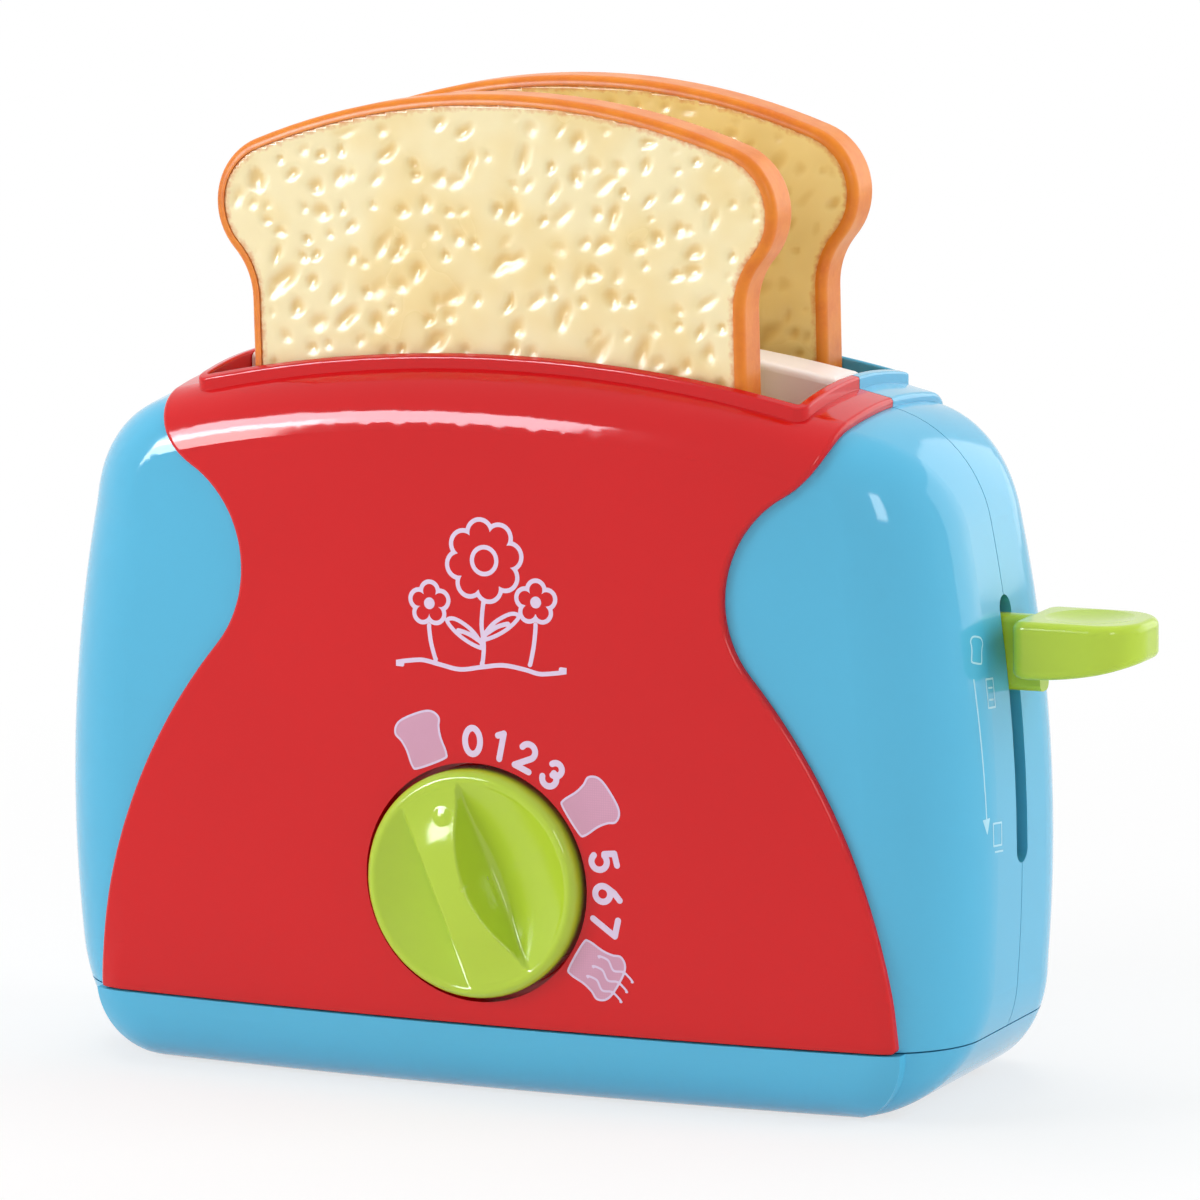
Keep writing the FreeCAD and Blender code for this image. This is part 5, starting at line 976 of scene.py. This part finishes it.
class TOASTER_OT_stage(bpy.types.Operator):
    """Set up the paper floor, the softboxes and the camera"""
    bl_idname = "toaster.stage"
    bl_label = "Stage"

    def execute(self, context):
        settings = context.scene.toaster_stage
        scene = context.scene
        mesh = bpy.data.meshes.new("floor")
        mesh.from_pydata([(x, y, 0) for x, y in ((-6, -6), (6, -6), (6, 6), (-6, 6))], [], [(0, 1, 2, 3)])
        mesh.materials.append(floor_paper())
        floor = bpy.data.objects.new("floor", mesh)
        scene.collection.objects.link(floor)
        studio_world(settings.ambient)
        middle = (0.0, 0.0, 0.09)
        lamp("overhead_softbox", settings.overhead, (-0.2, 0.2, 1.3), middle, 0.9, 0.7, "matt")
        lamp("key_softbox", settings.key, (-1.1, -0.95, 0.65), middle, 0.6, 0.6, "matt")
        lamp("side_softbox", settings.side, (1.2, 0.3, 0.5), middle, 0.6, 0.9, "matt")
        lamp("fill_softbox", settings.fill, (0.6, -1.5, 0.6), middle, 0.7, 0.7, "matt")
        band = lamp("overhead_gloss", 12.0, (-0.67, -0.99, 0.56), middle, 0.6, 0.36, "gloss")
        band.data.color = (0.8, 0.9, 1.0)
        lamp("window_gloss", 6.5, (-0.96, -1.11, 0.4), middle, 0.36, 0.4, "gloss")
        lamp("side_gloss", 2.2, (0.95, -0.95, 0.6), middle, 0.26, 0.4, "gloss")
        lamp("backdrop_gloss", 14.0, (1.3, 1.7, 0.6), middle, 2.4, 1.6, "gloss")
        data = bpy.data.cameras.new("camera")
        data.lens = settings.lens
        data.sensor_width = 36
        data.clip_end = 20
        camera = bpy.data.objects.new("camera", data)
        scene.collection.objects.link(camera)
        aim = Vector((settings.aim_x, 0, settings.aim_z))
        back = Vector((math.sin(settings.azimuth) * math.cos(settings.elevation),
                       -math.cos(settings.azimuth) * math.cos(settings.elevation),
                       math.sin(settings.elevation)))
        camera.location = aim + back * settings.distance
        turn = (-back).to_track_quat("-Z", "Y").to_matrix() @ Matrix.Rotation(settings.roll, 3, "Z")
        camera.rotation_euler = turn.to_euler()
        scene.camera = camera
        scene.view_settings.view_transform = "Standard"
        return {"FINISHED"}


# --------------------------------------------------------------- the add-on

class TOASTER_PT_panel(bpy.types.Panel):
    """Lists the toaster's pieces and their settings"""
    bl_label = "Toy toaster"
    bl_idname = "TOASTER_PT_panel"
    bl_space_type = "VIEW_3D"
    bl_region_type = "UI"
    bl_category = "Toaster"

    def draw(self, context):
        for operator, group in STEPS:
            box = self.layout.box()
            box.operator(operator.bl_idname)
            if group:
                settings = getattr(context.scene, group)
                for name in settings.bl_rna.properties.keys():
                    if name not in ("rna_type", "name"):
                        box.prop(settings, name)


STEPS = [
    (TOASTER_OT_finishes, "toaster_finishes"),
    (TOASTER_OT_slices, "toaster_slices"),
    (TOASTER_OT_knob, "toaster_knob"),
    (TOASTER_OT_springs, "toaster_springs"),
    (TOASTER_OT_dial_marks, "toaster_prints"),
    (TOASTER_OT_emblem, None),
    (TOASTER_OT_lever_marks, None),
    (TOASTER_OT_stage, "toaster_stage"),
]
GROUPS = {
    "toaster_finishes": ToasterFinishes,
    "toaster_slices": ToasterSlices,
    "toaster_knob": ToasterKnob,
    "toaster_springs": ToasterSprings,
    "toaster_prints": ToasterPrints,
    "toaster_stage": ToasterStage,
}


def register():
    for name, group in GROUPS.items():
        bpy.utils.register_class(group)
        setattr(bpy.types.Scene, name, PointerProperty(type=group))
    for operator, group in STEPS:
        bpy.utils.register_class(operator)
    bpy.utils.register_class(TOASTER_PT_panel)


def unregister():
    bpy.utils.unregister_class(TOASTER_PT_panel)
    for operator, group in reversed(STEPS):
        bpy.utils.unregister_class(operator)
    for name, group in GROUPS.items():
        delattr(bpy.types.Scene, name)
        bpy.utils.unregister_class(group)


def main():
    """Make every piece and the stage."""
    register()
    for operator, group in STEPS:
        family, name = operator.bl_idname.split(".")
        getattr(getattr(bpy.ops, family), name)()


if __name__ == "__main__":
    main()
